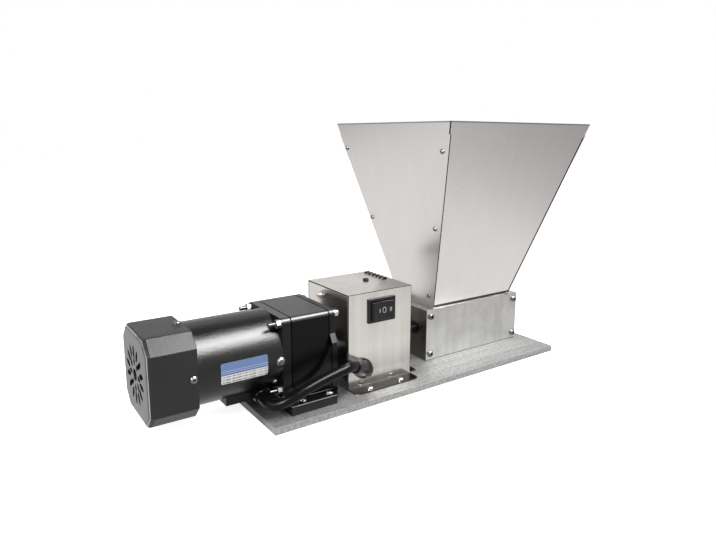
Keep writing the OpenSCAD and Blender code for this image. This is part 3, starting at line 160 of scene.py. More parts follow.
def addCamera():
    data = bpy.data.cameras.new("photoCamera")
    data.sensor_width = cameraPlace["sensor"]
    data.lens = cameraPlace["lens"]
    data.shift_x, data.shift_y = cameraPlace["shift"]
    data.clip_start = cameraPlace["nearest"]
    camera = bpy.data.objects.new("photoCamera", data)
    turn = Matrix.Rotation(math.radians(-cameraPlace["heading"]), 4, "Z")
    turn @= Matrix.Rotation(math.radians(90 - cameraPlace["dip"]), 4, "X")
    turn @= Matrix.Rotation(math.radians(cameraPlace["roll"]), 4, "Z")
    camera.matrix_world = Matrix.Translation(cameraPlace["location"]) @ turn
    bpy.context.scene.collection.objects.link(camera)
    bpy.context.scene.camera = camera


addCamera()
print("camera placed")


# what every material uses

def startMaterial(name):
    material = bpy.data.materials.new(name)
    material.use_nodes = True
    tree = material.node_tree
    wire = Wire(tree)
    place = wire.make("ShaderNodeTexCoord", output="Object")
    return material, tree.nodes["Principled BSDF"], wire, place


def noise(wire, place, scale, detail=3):
    # scale is one number, or three for a pattern stretched along an axis
    if not isinstance(scale, tuple):
        scale = (scale, scale, scale)
    vector = wire.make("ShaderNodeMapping", None, {"Vector": place, "Scale": scale})
    return wire.make("ShaderNodeTexNoise", None, {"Vector": vector, "Scale": 1, "Detail": detail})


def blend(wire, amount, first, second):
    # a colour is three numbers or a wire
    ends = [color if isinstance(color, Wire) else (*color, 1) for color in (first, second)]
    return wire.make("ShaderNodeMix", {"data_type": "RGBA"},
                     {"Factor": amount, "A": ends[0], "B": ends[1]}, 2)


def bump(wire, height, depth):
    return wire.make("ShaderNodeBump", None, {"Height": height, "Distance": depth * mm})


def along(wire, place, axis):
    return wire.make("ShaderNodeSeparateXYZ", None, {"Vector": place}, axis)


# painted shade, painted shadows and a painted highlight on bare metal, beside darker lines at the hopper's
# hem and the bolts' thread ends: each gives the share of the dark colour at a place, and a span is
# where, in mm, a change begins and ends

# the dark colour that the masks below mix in
darkeningColor = (0.012, 0.01, 0.009)

hopperLines = {
    "middle": middleOf("hopper_front_panel", "X"),
    "slope": 0.2186,
    "rightSide": (53.8, 54.2),
    "leftSide": (55.6, 56),
    "sidesEnd": (hopperTop - 18, hopperTop - 17),
    "foot": (millTop + 4.8, millTop + 5.2),
    "hem": (hopperTop - 2, hopperTop - 1.4),
    "hemShare": 0.5,
    "darkest": 0.97,
}


def hopperHem(wire, place, cloud):
    # a dull line along the hem
    return along(wire, place, "Z").past(hopperLines["hem"]) * hopperLines["hemShare"]


def hopperSeamShade(wire, place, cloud):
    # painted shade in the seams down the sloping sides and a painted shadow along the foot, where the
    # hopper sits on the mill, and the hem's line
    lines = hopperLines
    height = along(wire, place, "Z")
    off = along(wire, place, "X") - lines["middle"] * mm
    lean = height * lines["slope"]
    sides = (off - lean).past(lines["rightSide"]) + (-1 * off - lean).past(lines["leftSide"])
    joints = sides * height.before(lines["sidesEnd"]) + height.before(lines["foot"])
    return wire.maths("MINIMUM", joints + hopperHem(wire, place, cloud), lines["darkest"])


boxLines = {
    "sides": (boxHalf - 0.7, boxHalf - 0.5),
    "head": (125.7, 125.9),
    "front": (-63.6, -63.4),
    "rimShare": 0.9,
    "foot": (plateTop, plateTop + 52),
    "footShare": 0.45,
    "flange": (plateTop + 1.5, plateTop + 1.9),
    "flangeShare": 0.25,
    "foldFrom": (plateTop + 1.6, plateTop + 1.9),
    "foldTo": (plateTop + 2.6, plateTop + 3),
    "top": (125.8, 126.4),
    "topShare": 0.2,
    "topRight": (-60, -30),
    "topRightShare": 0.16,
}


def boxPaintedShade(wire, place, cloud):
    # painted shade and reflection: darker towards the foot, most on the flange, with the fold left bright
    # as a painted highlight;
    # painted shade lines round the front; and a top darkened by painted shade, more to the right by a
    # painted reflection
    lines = boxLines
    height = along(wire, place, "Z")
    across = along(wire, place, "X")
    fold = height.past(lines["foldFrom"]) * height.before(lines["foldTo"])
    flange = height.before(lines["flange"]) * lines["flangeShare"]
    foot = height.before(lines["foot"]) * lines["footShare"] + flange
    right = across.past(lines["topRight"]) * lines["topRightShare"]
    top = height.past(lines["top"]) * (right + lines["topShare"])
    sides = abs(across - boxMiddle * mm).past(lines["sides"])
    rim = wire.maths("MAXIMUM", sides, height.past(lines["head"]))
    rim = rim * along(wire, place, "Y").before(lines["front"]) * height.past(lines["foldFrom"])
    return wire.maths("MAXIMUM", foot * (1 - fold) + top, rim * lines["rimShare"])


# where painted shadows lie, at the mill's foot and under the motor, and where the through bolts' threaded
# ends are darker
darkSpans = {
    "millFoot": (plateTop + 0.7, plateTop + 1.1),
    "millShare": 0.8,
    "plateX": (-170, -120),
    "plateY": (-92, -62),
    "plateRagged": 40,
    "plateShare": 0.75,
    "thread": (flangeBack - 2, flangeBack - 1.6),
    "threadShare": 0.9,
}


def millFootShadow(wire, place, cloud):
    # a painted contact shadow: a dark line where the mill stands on the plate
    return along(wire, place, "Z").before(darkSpans["millFoot"]) * darkSpans["millShare"]


def plateMotorShadow(wire, place, cloud):
    # a painted shadow on the plate under the motor, with a ragged end
    spread = along(wire, place, "X") + cloud * (darkSpans["plateRagged"] * mm)
    across = along(wire, place, "Y").past(darkSpans["plateY"])
    return spread.before(darkSpans["plateX"]) * across * darkSpans["plateShare"]


def darkThreadEnds(wire, place, cloud):
    # darker past the nuts, on the threaded ends of the through bolts
    return along(wire, place, "X").before(darkSpans["thread"]) * darkSpans["threadShare"]


# bare metal

# cycles to the metre along the brush lines and across them
brushing = {"lines": (14, 1500), "bands": (3, 90)}
# the noise between which a metal's colour goes from dark to light
contrast = (0.3, 0.7)


def brushMarks(wire, place, brush, kind):
    lengthwise, crosswise = brushing[kind]
    return noise(wire, place, tuple(lengthwise if axis == brush else crosswise for axis in "XYZ"), 2)


def brushedMetal(name, dark, light, brush, roughness=0.26, streaks=0.1, clouds=5, depth=0.02,
                 shade=None, metallic=1):
    # brush is the axis that the brush lines follow; depth is in mm
    material, surface, wire, place = startMaterial(name)
    lines = brushMarks(wire, place, brush, "lines")
    bands = brushMarks(wire, place, brush, "bands")
    cloud = noise(wire, place, clouds)
    tone = cloud * 0.5 + bands * 0.3 + lines * 0.2
    color = blend(wire, tone.over(*contrast), dark, light)
    if shade:
        color = blend(wire, shade(wire, place, cloud), color, darkeningColor)
    wire.fill(surface, {
        "Base Color": color,
        "Metallic": metallic,
        "Roughness": lines * streaks + (roughness - streaks / 2) + cloud * 0.08,
        "Normal": bump(wire, lines * 0.7 + bands * 0.3, depth),
    })
    return material


def plainMetal(name, color, roughness=0.25, mottle=0.1, shade=None):
    material, surface, wire, place = startMaterial(name)
    cloud = noise(wire, place, 160, 4)
    dark = tuple(part * (1 - mottle * 2) for part in color)
    tone = blend(wire, cloud.over(*contrast), dark, color)
    if shade:
        tone = blend(wire, shade(wire, place, cloud), tone, darkeningColor)
    wire.fill(surface, {
        "Base Color": tone,
        "Metallic": 1,
        "Roughness": cloud * 0.16 + (roughness - 0.08),
    })
    return material


def laminated(name, dark, light):
    # thin sheets stacked along the shaft
    material, surface, wire, place = startMaterial(name)
    sheets = wire.make("ShaderNodeTexWave", {"wave_type": "BANDS", "bands_direction": "X"},
                       {"Vector": place, "Scale": 320, "Distortion": 0.3})
    wire.fill(surface, {
        "Base Color": blend(wire, sheets, dark, light),
        "Metallic": 1,
        "Roughness": sheets * 0.15 + 0.3,
        "Normal": bump(wire, sheets, 0.1),
    })
    return material


def woundWire(name, dark, light):
    material, surface, wire, place = startMaterial(name)
    turns = wire.make("ShaderNodeTexWave", {"wave_type": "RINGS", "rings_direction": "X"},
                      {"Vector": place, "Scale": 260, "Distortion": 1.5, "Detail": 2})
    wire.fill(surface, {
        "Base Color": blend(wire, turns, dark, light),
        "Metallic": 0.9,
        "Roughness": turns * 0.1 + 0.28,
        "Normal": bump(wire, turns, 0.3),
    })
    return material


# paint

# sizes and spans in mm: painted light on the top faces, a painted highlight band in patches along an edge
# but not among the fan cover's vents, and black joints down to the bracket's foot
paintLightAndJoints = {
    "topLightEdge": 0.2,
    "topLightShare": 0.05,
    "topLightColor": (1, 0.98, 0.99),
    "highlightEdge": 0.05,
    "highlightPatches": (0.3, 0.5),
    "vents": (41, 42),
    "highlightShare": 0.5,
    "highlightColor": (1, 1, 1),
    "joint": (0.6, 0.9),
    "jointFoot": (gearboxFoot - 2, gearboxFoot - 1),
    "jointColor": (0.002, 0.002, 0.002),
}


def addTopLight(wire, place, cloud, color, level):
    # painted light: above the given height the paint is lighter, on top faces
    topLit = along(wire, place, "Z").past((level, level + paintLightAndJoints["topLightEdge"])) * (cloud * 0.6 + 0.7)
    return blend(wire, topLit * paintLightAndJoints["topLightShare"], color, paintLightAndJoints["topLightColor"])


def addEdgeHighlight(wire, place, cloud, color, band):
    # a painted highlight: a lighter band in patches along an edge, kept out from among the fan cover's
    # vents
    axis, middle, width = band
    off = abs(along(wire, place, axis) - middle * mm)
    edge = paintLightAndJoints["highlightEdge"]
    highlighted = off.before((width / 2 - edge, width / 2 + edge)) * cloud.over(*paintLightAndJoints["highlightPatches"])
    flat = wire.make("ShaderNodeVectorMath", {"operation": "MULTIPLY"}, {0: place, 1: (0, 1, 1)})
    reach = wire.make("ShaderNodeVectorMath", {"operation": "DISTANCE"}, {0: flat, 1: tuple(hub)}, "Value")
    highlighted = highlighted * reach.past(paintLightAndJoints["vents"])
    return blend(wire, highlighted * paintLightAndJoints["highlightShare"], color, paintLightAndJoints["highlightColor"])


def shutJoints(wire, place, surface, joints):
    off = wire.maths("MINIMUM", *(abs(along(wire, place, "X") - joint * mm) for joint in joints))
    shut = off.before(paintLightAndJoints["joint"]) * along(wire, place, "Z").past(paintLightAndJoints["jointFoot"])
    black = wire.make("ShaderNodeBsdfDiffuse", None, {"Color": (*paintLightAndJoints["jointColor"], 1)})
    painted = Wire(wire.tree, surface.outputs["BSDF"])
    mixed = wire.make("ShaderNodeMixShader", None, {0: shut, 1: painted, 2: black})
    wire.fill(wire.tree.nodes["Material Output"], {"Surface": mixed})


def paint(name, dark, light, roughness, grain, depth, level=0.5, litAbove=None, highlightBand=None, joints=()):
    # grain is the paint's texture in bumps to the metre, depth its height in mm; above a given height in
    # mm painted light makes the top lighter, and a given band, by axis, middle and width, gets a painted
    # highlight
    material, surface, wire, place = startMaterial(name)
    fine = noise(wire, place, grain)
    cloud = noise(wire, place, 25)
    color = blend(wire, fine * 0.6 + cloud * 0.4, dark, light)
    if litAbove:
        color = addTopLight(wire, place, cloud, color, litAbove)
    if highlightBand:
        color = addEdgeHighlight(wire, place, cloud, color, highlightBand)
    wire.fill(surface, {
        "Base Color": color,
        "Roughness": fine * 0.1 + cloud * 0.08 + (roughness - 0.09),
        "Specular IOR Level": level,
        "Normal": bump(wire, fine, depth),
    })
    if joints:
        shutJoints(wire, place, surface, joints)
    return material


# plastic, rubber and print

def moulded(name, color, roughness, grain=2500, depth=0.02, level=0.5):
    material, surface, wire, place = startMaterial(name)
    fine = noise(wire, place, grain, 2)
    cloud = noise(wire, place, 60, 2)
    dark = tuple(part * 0.75 for part in color)
    wire.fill(surface, {
        "Base Color": blend(wire, cloud, dark, color),
        "Roughness": fine * 0.1 + (roughness - 0.05),
        "Specular IOR Level": level,
        "Normal": bump(wire, fine, depth),
    })
    return material


# two opposite corners as X and Z and the size of the inked corners, in mm; rows is how far a
# sine runs over the height, dashes are cycles to the metre, and bands and field are shares of
# the height
labelPrint = {
    "low": (-267.5, 53),
    "high": (-214, 76.5),
    "corner": 2.2,
    "rows": 22,
    "rowEdge": (0.75, 0.85),
    "dashes": 420,
    "dashEdge": (0.47, 0.49),
    "field": (0.36, 0.38),
    "rowShare": 0.75,
    "ink": (0.004, 0.004, 0.004),
    "bands": [
        (0.0, (0.72, 0.72, 0.72)), (0.42, (0.72, 0.72, 0.72)), (0.45, (0.1, 0.14, 0.33)),
        (0.49, (0.1, 0.14, 0.33)), (0.52, (0.44, 0.5, 0.66)), (0.55, (0.15, 0.22, 0.43)),
        (0.59, (0.15, 0.22, 0.43)), (0.62, (0.4, 0.47, 0.64)), (0.65, (0.16, 0.24, 0.45)),
        (1.0, (0.15, 0.23, 0.42))],
}


def pastCorners(wire, place):
    # how far a place is past the straight part of the label's outline
    corner = labelPrint["corner"] * mm
    past = []
    for axis, low, high in zip("XZ", labelPrint["low"], labelPrint["high"]):
        off = abs(along(wire, place, axis) - (low + high) / 2 * mm)
        past.append(wire.maths("MAXIMUM", off - ((high - low) / 2 * mm - corner)))
    reach = wire.maths("SQRT", past[0] * past[0] + past[1] * past[1])
    return reach.over(corner * 0.95, corner * 1.05)


def platedLabel(name):
    # foil with a coloured head over a light field of dashes; its corners are inked black
    material, surface, wire, place = startMaterial(name)
    foot, head = labelPrint["low"][1], labelPrint["high"][1]
    share = (along(wire, place, "Z") - foot * mm) * (1 / ((head - foot) * mm))
    bands = wire.make("ShaderNodeValToRGB", {"stops": labelPrint["bands"]}, {"Fac": share})
    dashes = noise(wire, place, (labelPrint["dashes"], 1, 1), 1).over(*labelPrint["dashEdge"])
    rows = abs(wire.maths("SINE", share * labelPrint["rows"])).over(*labelPrint["rowEdge"])
    field = 1 - share.over(*labelPrint["field"])
    printed = dashes * rows * field * labelPrint["rowShare"]
    inked = wire.maths("MAXIMUM", printed, pastCorners(wire, place))
    wire.fill(surface, {
        "Base Color": blend(wire, inked, bands, labelPrint["ink"]),
        "Roughness": noise(wire, place, 900, 2) * 0.2 + 0.25,
        "Specular IOR Level": 0.2,
    })
    return material


# one entry for each finish: the function that makes it and what it is given
finishes = {
    "hopperSteel": (brushedMetal, dict(
        dark=(0.67, 0.655, 0.65), light=(0.72, 0.705, 0.7), brush="Z",
        roughness=0.25, streaks=0.03, depth=0.001, shade=hopperHem)),
    # the hopper's front and rear panels: painted shade in the seams down the sides and a painted shadow
    # along the foot
    "hopperFrontSteel": (brushedMetal, dict(
        dark=(0.67, 0.655, 0.65), light=(0.72, 0.705, 0.7), brush="Z",
        roughness=0.25, streaks=0.03, depth=0.001, shade=hopperSeamShade)),
    # painted shade and reflection darken the box towards its foot and on top, with dark lines round the
    # front and a bright fold
    "boxSteel": (brushedMetal, dict(
        dark=(0.58, 0.563, 0.535), light=(0.74, 0.72, 0.69), brush="Z",
        roughness=0.17, streaks=0.05, clouds=14, depth=0.004, shade=boxPaintedShade)),
    # with a painted contact shadow at the foot
    "millSteel": (brushedMetal, dict(
        dark=(0.4, 0.395, 0.392), light=(0.51, 0.512, 0.505), brush="Z",
        roughness=0.34, streaks=0.05, clouds=60, depth=0.003, shade=millFootShadow)),
    # with a painted shadow under the motor
    "plateMetal": (brushedMetal, dict(
        dark=(0.23, 0.23, 0.227), light=(0.47, 0.471, 0.467), brush="X",
        roughness=0.45, streaks=0.12, clouds=260, shade=plateMotorShadow, metallic=0.55)),
    # a darker copy of the mill steel for the plates' faces along X: painted shade
    "endSteel": (brushedMetal, dict(
        dark=(0.08, 0.072, 0.065), light=(0.18, 0.166, 0.15), brush="Z",
        roughness=0.34, clouds=40, depth=0.01)),
    "shaftSteel": (brushedMetal, dict(
        dark=(0.35, 0.35, 0.36), light=(0.6, 0.6, 0.61), brush="Y", roughness=0.24, clouds=30)),
    "screwDull": (plainMetal, dict(color=(0.3, 0.29, 0.275), roughness=0.3, mottle=0.2)),
    "screwGrey": (plainMetal, dict(color=(0.17, 0.165, 0.155), roughness=0.3, mottle=0.2)),
    "screwZinc": (plainMetal, dict(color=(0.62, 0.62, 0.6), roughness=0.2, mottle=0.12)),
    "boltZinc": (plainMetal, dict(
        color=(0.62, 0.62, 0.6), roughness=0.2, mottle=0.12, shade=darkThreadEnds)),
    "screwDark": (plainMetal, dict(color=(0.08, 0.08, 0.085), roughness=0.35)),
    "rollerSteel": (plainMetal, dict(color=(0.05, 0.05, 0.05), roughness=0.35)),
    "gearSteel": (plainMetal, dict(color=(0.42, 0.42, 0.44), roughness=0.3)),
    "castMetal": (plainMetal, dict(color=(0.5, 0.5, 0.52), roughness=0.45, mottle=0.12)),
    "terminalBrass": (plainMetal, dict(color=(0.75, 0.6, 0.3))),
    "lamination": (laminated, dict(dark=(0.12, 0.12, 0.14), light=(0.42, 0.42, 0.45))),
    "copperWire": (woundWire, dict(dark=(0.28, 0.09, 0.03), light=(0.85, 0.42, 0.2))),
    "motorPaint": (paint, dict(
        dark=(0.002, 0.002, 0.002), light=(0.005, 0.005, 0.005),
        roughness=0.25, grain=700, depth=0.3, level=0.4)),
    # the gearbox and flange paints are lighter on top by painted light
    "gearboxPaint": (paint, dict(
        dark=(0.0008, 0.0007, 0.0008), light=(0.002, 0.0018, 0.0019),
        roughness=0.3, grain=1400, depth=0.08, level=0.14, litAbove=gearboxTop - 0.3,
        joints=motorJoints)),
    "flangePaint": (paint, dict(
        dark=(0.004, 0.0038, 0.004), light=(0.012, 0.0115, 0.012),
        roughness=0.3, grain=1400, depth=0.05, level=0.18, litAbove=gearboxTop - 0.3,
        joints=motorJoints)),
    # a glossier, lighter copy of the paint on the upper front corners of the flange and gearbox: painted
    # highlight
    "edgeGloss": (paint, dict(
        dark=(0.004, 0.004, 0.004), light=(0.008, 0.008, 0.008),
        roughness=0.36, grain=900, depth=0.03, level=0.6, joints=motorJoints)),
    # with a painted highlight band along the foot's top edge
    "bracketPaint": (paint, dict(
        dark=(0.002, 0.002, 0.002), light=(0.005, 0.005, 0.005),
        roughness=0.33, grain=900, depth=0.05, level=0.22, highlightBand=("Z", plateTop + 10.55, 0.7),
        joints=motorJoints)),
    # a glossier, lighter copy of the bracket paint on its upper front corners: painted highlight
    "bracketEdge": (paint, dict(
        dark=(0.003, 0.003, 0.003), light=(0.007, 0.007, 0.007),
        roughness=0.36, grain=900, depth=0.03, level=0.6, joints=motorJoints)),
    # with a painted highlight band round the end's edges
    "coverPaint": (paint, dict(
        dark=(0.0015, 0.0014, 0.0015), light=(0.022, 0.0215, 0.022),
        roughness=0.4, grain=1100, depth=0.3, level=0.32, highlightBand=("X", coverBack + 0.8, 1.6))),
    # a lighter, glossier copy of the cover paint for the end face and its roundings: painted light
    "coverEnd": (paint, dict(
        dark=(0.03, 0.029, 0.03), light=(0.07, 0.068, 0.069),
        roughness=0.3, grain=1100, depth=0.2, level=0.8)),
    "knobPaint": (paint, dict(
        dark=(0.012, 0.012, 0.013), light=(0.03, 0.03, 0.032),
        roughness=0.4, grain=1500, depth=0.04)),
    # black for painted shade in screw sockets, on sheets' cut edges and under the box's louvre hoods; it
    # also darkens the box's top screws
    "seamDark": (paint, dict(
        dark=(0.004, 0.004, 0.004), light=(0.012, 0.011, 0.01),
        roughness=0.5, grain=900, depth=0.01, level=0.2)),
    "blackPlastic": (moulded, dict(color=(0.005, 0.005, 0.006), roughness=0.28, level=0.35)),
    "fanPlastic": (moulded, dict(color=(0.008, 0.008, 0.008), roughness=0.5)),
    "whitePlastic": (moulded, dict(color=(0.78, 0.77, 0.73), roughness=0.35)),
    "markWhite": (moulded, dict(color=(0.8, 0.8, 0.8), roughness=0.4)),
    "redRubber": (moulded, dict(color=(0.42, 0.05, 0.03), roughness=0.5)),
    "blackRubber": (moulded, dict(
        color=(0.003, 0.003, 0.003), roughness=0.22, grain=900, depth=0.04, level=0.3)),
    "sleeve": (moulded, dict(
        color=(0.004, 0.004, 0.0045), roughness=0.26, grain=600, depth=0.05, level=0.12)),
    "label": (platedLabel, {}),
}

materials = {name: finish(name, **look) for name, (finish, look) in finishes.items()}
print("materials made:", len(materials))


# pieces that start from a CAD node: its loose triangles are merged and its edges rounded

# angles in degrees, lengths in mm, and shares of a face's unit normal or of its outline; nowhere
# is a height past every piece
shaping = {
    "merge": 0.002,
    "flat": 0.6,
    "roundFrom": 28,
    "sharpFrom": 35,
    "rings": 2,
    "smoothing": 80,
    "socketWall": 0.1,
    "endFacing": 0.9,
    "shoulderTilt": 0.15,
    "hoodTilt": (0.2, 0.9),
    "cutEdge": 57.3,
    "cutShare": 0.8,
    "innerFacing": 0.7,
    "nowhere": 1000,
}


def islands(shape):
    # groups of faces that hang together
    waiting = set(shape.faces)
    while waiting:
        group = [waiting.pop()]
        for face in group:
            for edge in face.edges:
                for other in edge.link_faces:
                    if other in waiting:
                        waiting.remove(other)
                        group.append(other)
        yield group


def markSockets(shape):
    # the walls of a socket face its screw's middle, and its floor lies between them
    for group in islands(shape):
        places = [vert.co for face in group for vert in face.verts]
        low = Vector(min(place[axis] for place in places) for axis in range(3))
        high = Vector(max(place[axis] for place in places) for axis in range(3))
        middle = (low + high) / 2
        for face in group:
            if face.normal.dot(face.calc_center_median() - middle) < -shaping["socketWall"] * mm:
                face.material_index = 1
        for face in group:
            others = [other for edge in face.edges for other in edge.link_faces if other is not face]
            if all(other.material_index == 1 for other in others):
                face.material_index = 1


def isCut(face, width):
    # a sheet's cut edge is narrow, and nearly all of its outline is folded
    around = sum(edge.calc_length() for edge in face.edges)
    folded = sum(edge.calc_length() for edge in face.edges
                 if len(edge.link_faces) == 2
                 and edge.calc_face_angle() > math.radians(shaping["cutEdge"]))
    narrow = 2 * face.calc_area() / around < width * mm
    return narrow and folded > shaping["cutShare"] * around


def isTrim(face, marks, hoodsAbove):
    if marks == "ends":
        return abs(face.normal.x) > shaping["endFacing"]
    if marks == "shoulder":
        return face.normal.y < -shaping["shoulderTilt"] and face.normal.z > shaping["shoulderTilt"]
    if face.calc_center_median().z > hoodsAbove * mm:
        least, most = shaping["hoodTilt"]
        return least < -face.normal.y < most
    return isCut(face, marks)


def markTrim(shape, look):
    # the second material goes on sockets, faces along X, an upper front corner or cut edges
    if look["marks"] == "sockets":
        markSockets(shape)
        for face in shape.faces:
            if face.calc_center_median().z > look.get("darkAbove", shaping["nowhere"]) * mm:
                face.material_index = 1
    else:
        hoodsAbove = look.get("hoodsAbove", shaping["nowhere"])
        for face in shape.faces:
            face.material_index = int(isTrim(face, look["marks"], hoodsAbove))


def markInner(shape):
    # the third material goes on what doesn't face away from the hopper's middle
    for face in shape.faces:
        outward = face.normal.y * math.copysign(1, face.calc_center_median().y)
        if outward < shaping["innerFacing"] and face.material_index == 0:
            face.material_index = 2


def isRounded(edge, look):
    # a fold between two faces, but for what the piece's entry leaves plain
    if len(edge.link_faces) != 2 or edge.calc_face_angle() <= math.radians(shaping["roundFrom"]):
        return False
    height = sum(vert.co.z for vert in edge.verts) / 2
    reach = min((vert.co - hub).yz.length for vert in edge.verts)
    return (height < look.get("hoodsAbove", shaping["nowhere"]) * mm
            and reach > look.get("plainRound", 0) * mm
            and edge.calc_length() > look.get("plainUnder", 0) * mm)


def growTrim(rounding):
    # a rounding beside a face of the second material takes that material too
    beside = [face for face in rounding
              if any(other.material_index == 1 for edge in face.edges
                     for other in edge.link_faces if other not in rounding)]
    for face in beside:
        face.material_index = 1


def roundedShape(node, look):
    shape = bmesh.new()
    shape.from_mesh(frame["nodes"][node].data)
    bmesh.ops.remove_doubles(shape, verts=shape.verts, dist=shaping["merge"] * mm)
    bmesh.ops.dissolve_limit(shape, angle_limit=math.radians(shaping["flat"]),
                             verts=shape.verts, edges=shape.edges)
    if "trim" in look:
        markTrim(shape, look)
    if "inner" in look:
        markInner(shape)
    edges = [edge for edge in shape.edges if isRounded(edge, look)]
    if edges:
        made = bmesh.ops.bevel(shape, geom=edges, offset=look["edge"] * mm, offset_type="OFFSET",
                               segments=look.get("rings", shaping["rings"]),
                               profile=0.5, affect="EDGES", material=-1, clamp_overlap=True)
        growTrim(set(made["faces"]))
    return shape


def finishPiece(name, shape, used, body, slot, replaced=(), sharpFrom=shaping["sharpFrom"]):
    data = bpy.data.meshes.new(name)
    shape.to_mesh(data)
    shape.free()
    for material in used:
        data.materials.append(materials[material])
    for face in data.polygons:
        face.use_smooth = True
    data.set_sharp_from_angle(angle=math.radians(sharpFrom))
    piece = bpy.data.objects.new(name, data)
    bpy.context.scene.collection.objects.link(piece)
    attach(piece, body)
    if replaced:
        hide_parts(*replaced)
    return piece


def weightNormals(piece):
    weighted = piece.modifiers.new("weighted", "WEIGHTED_NORMAL")
    weighted.keep_sharp = True
    weighted.weight = shaping["smoothing"]


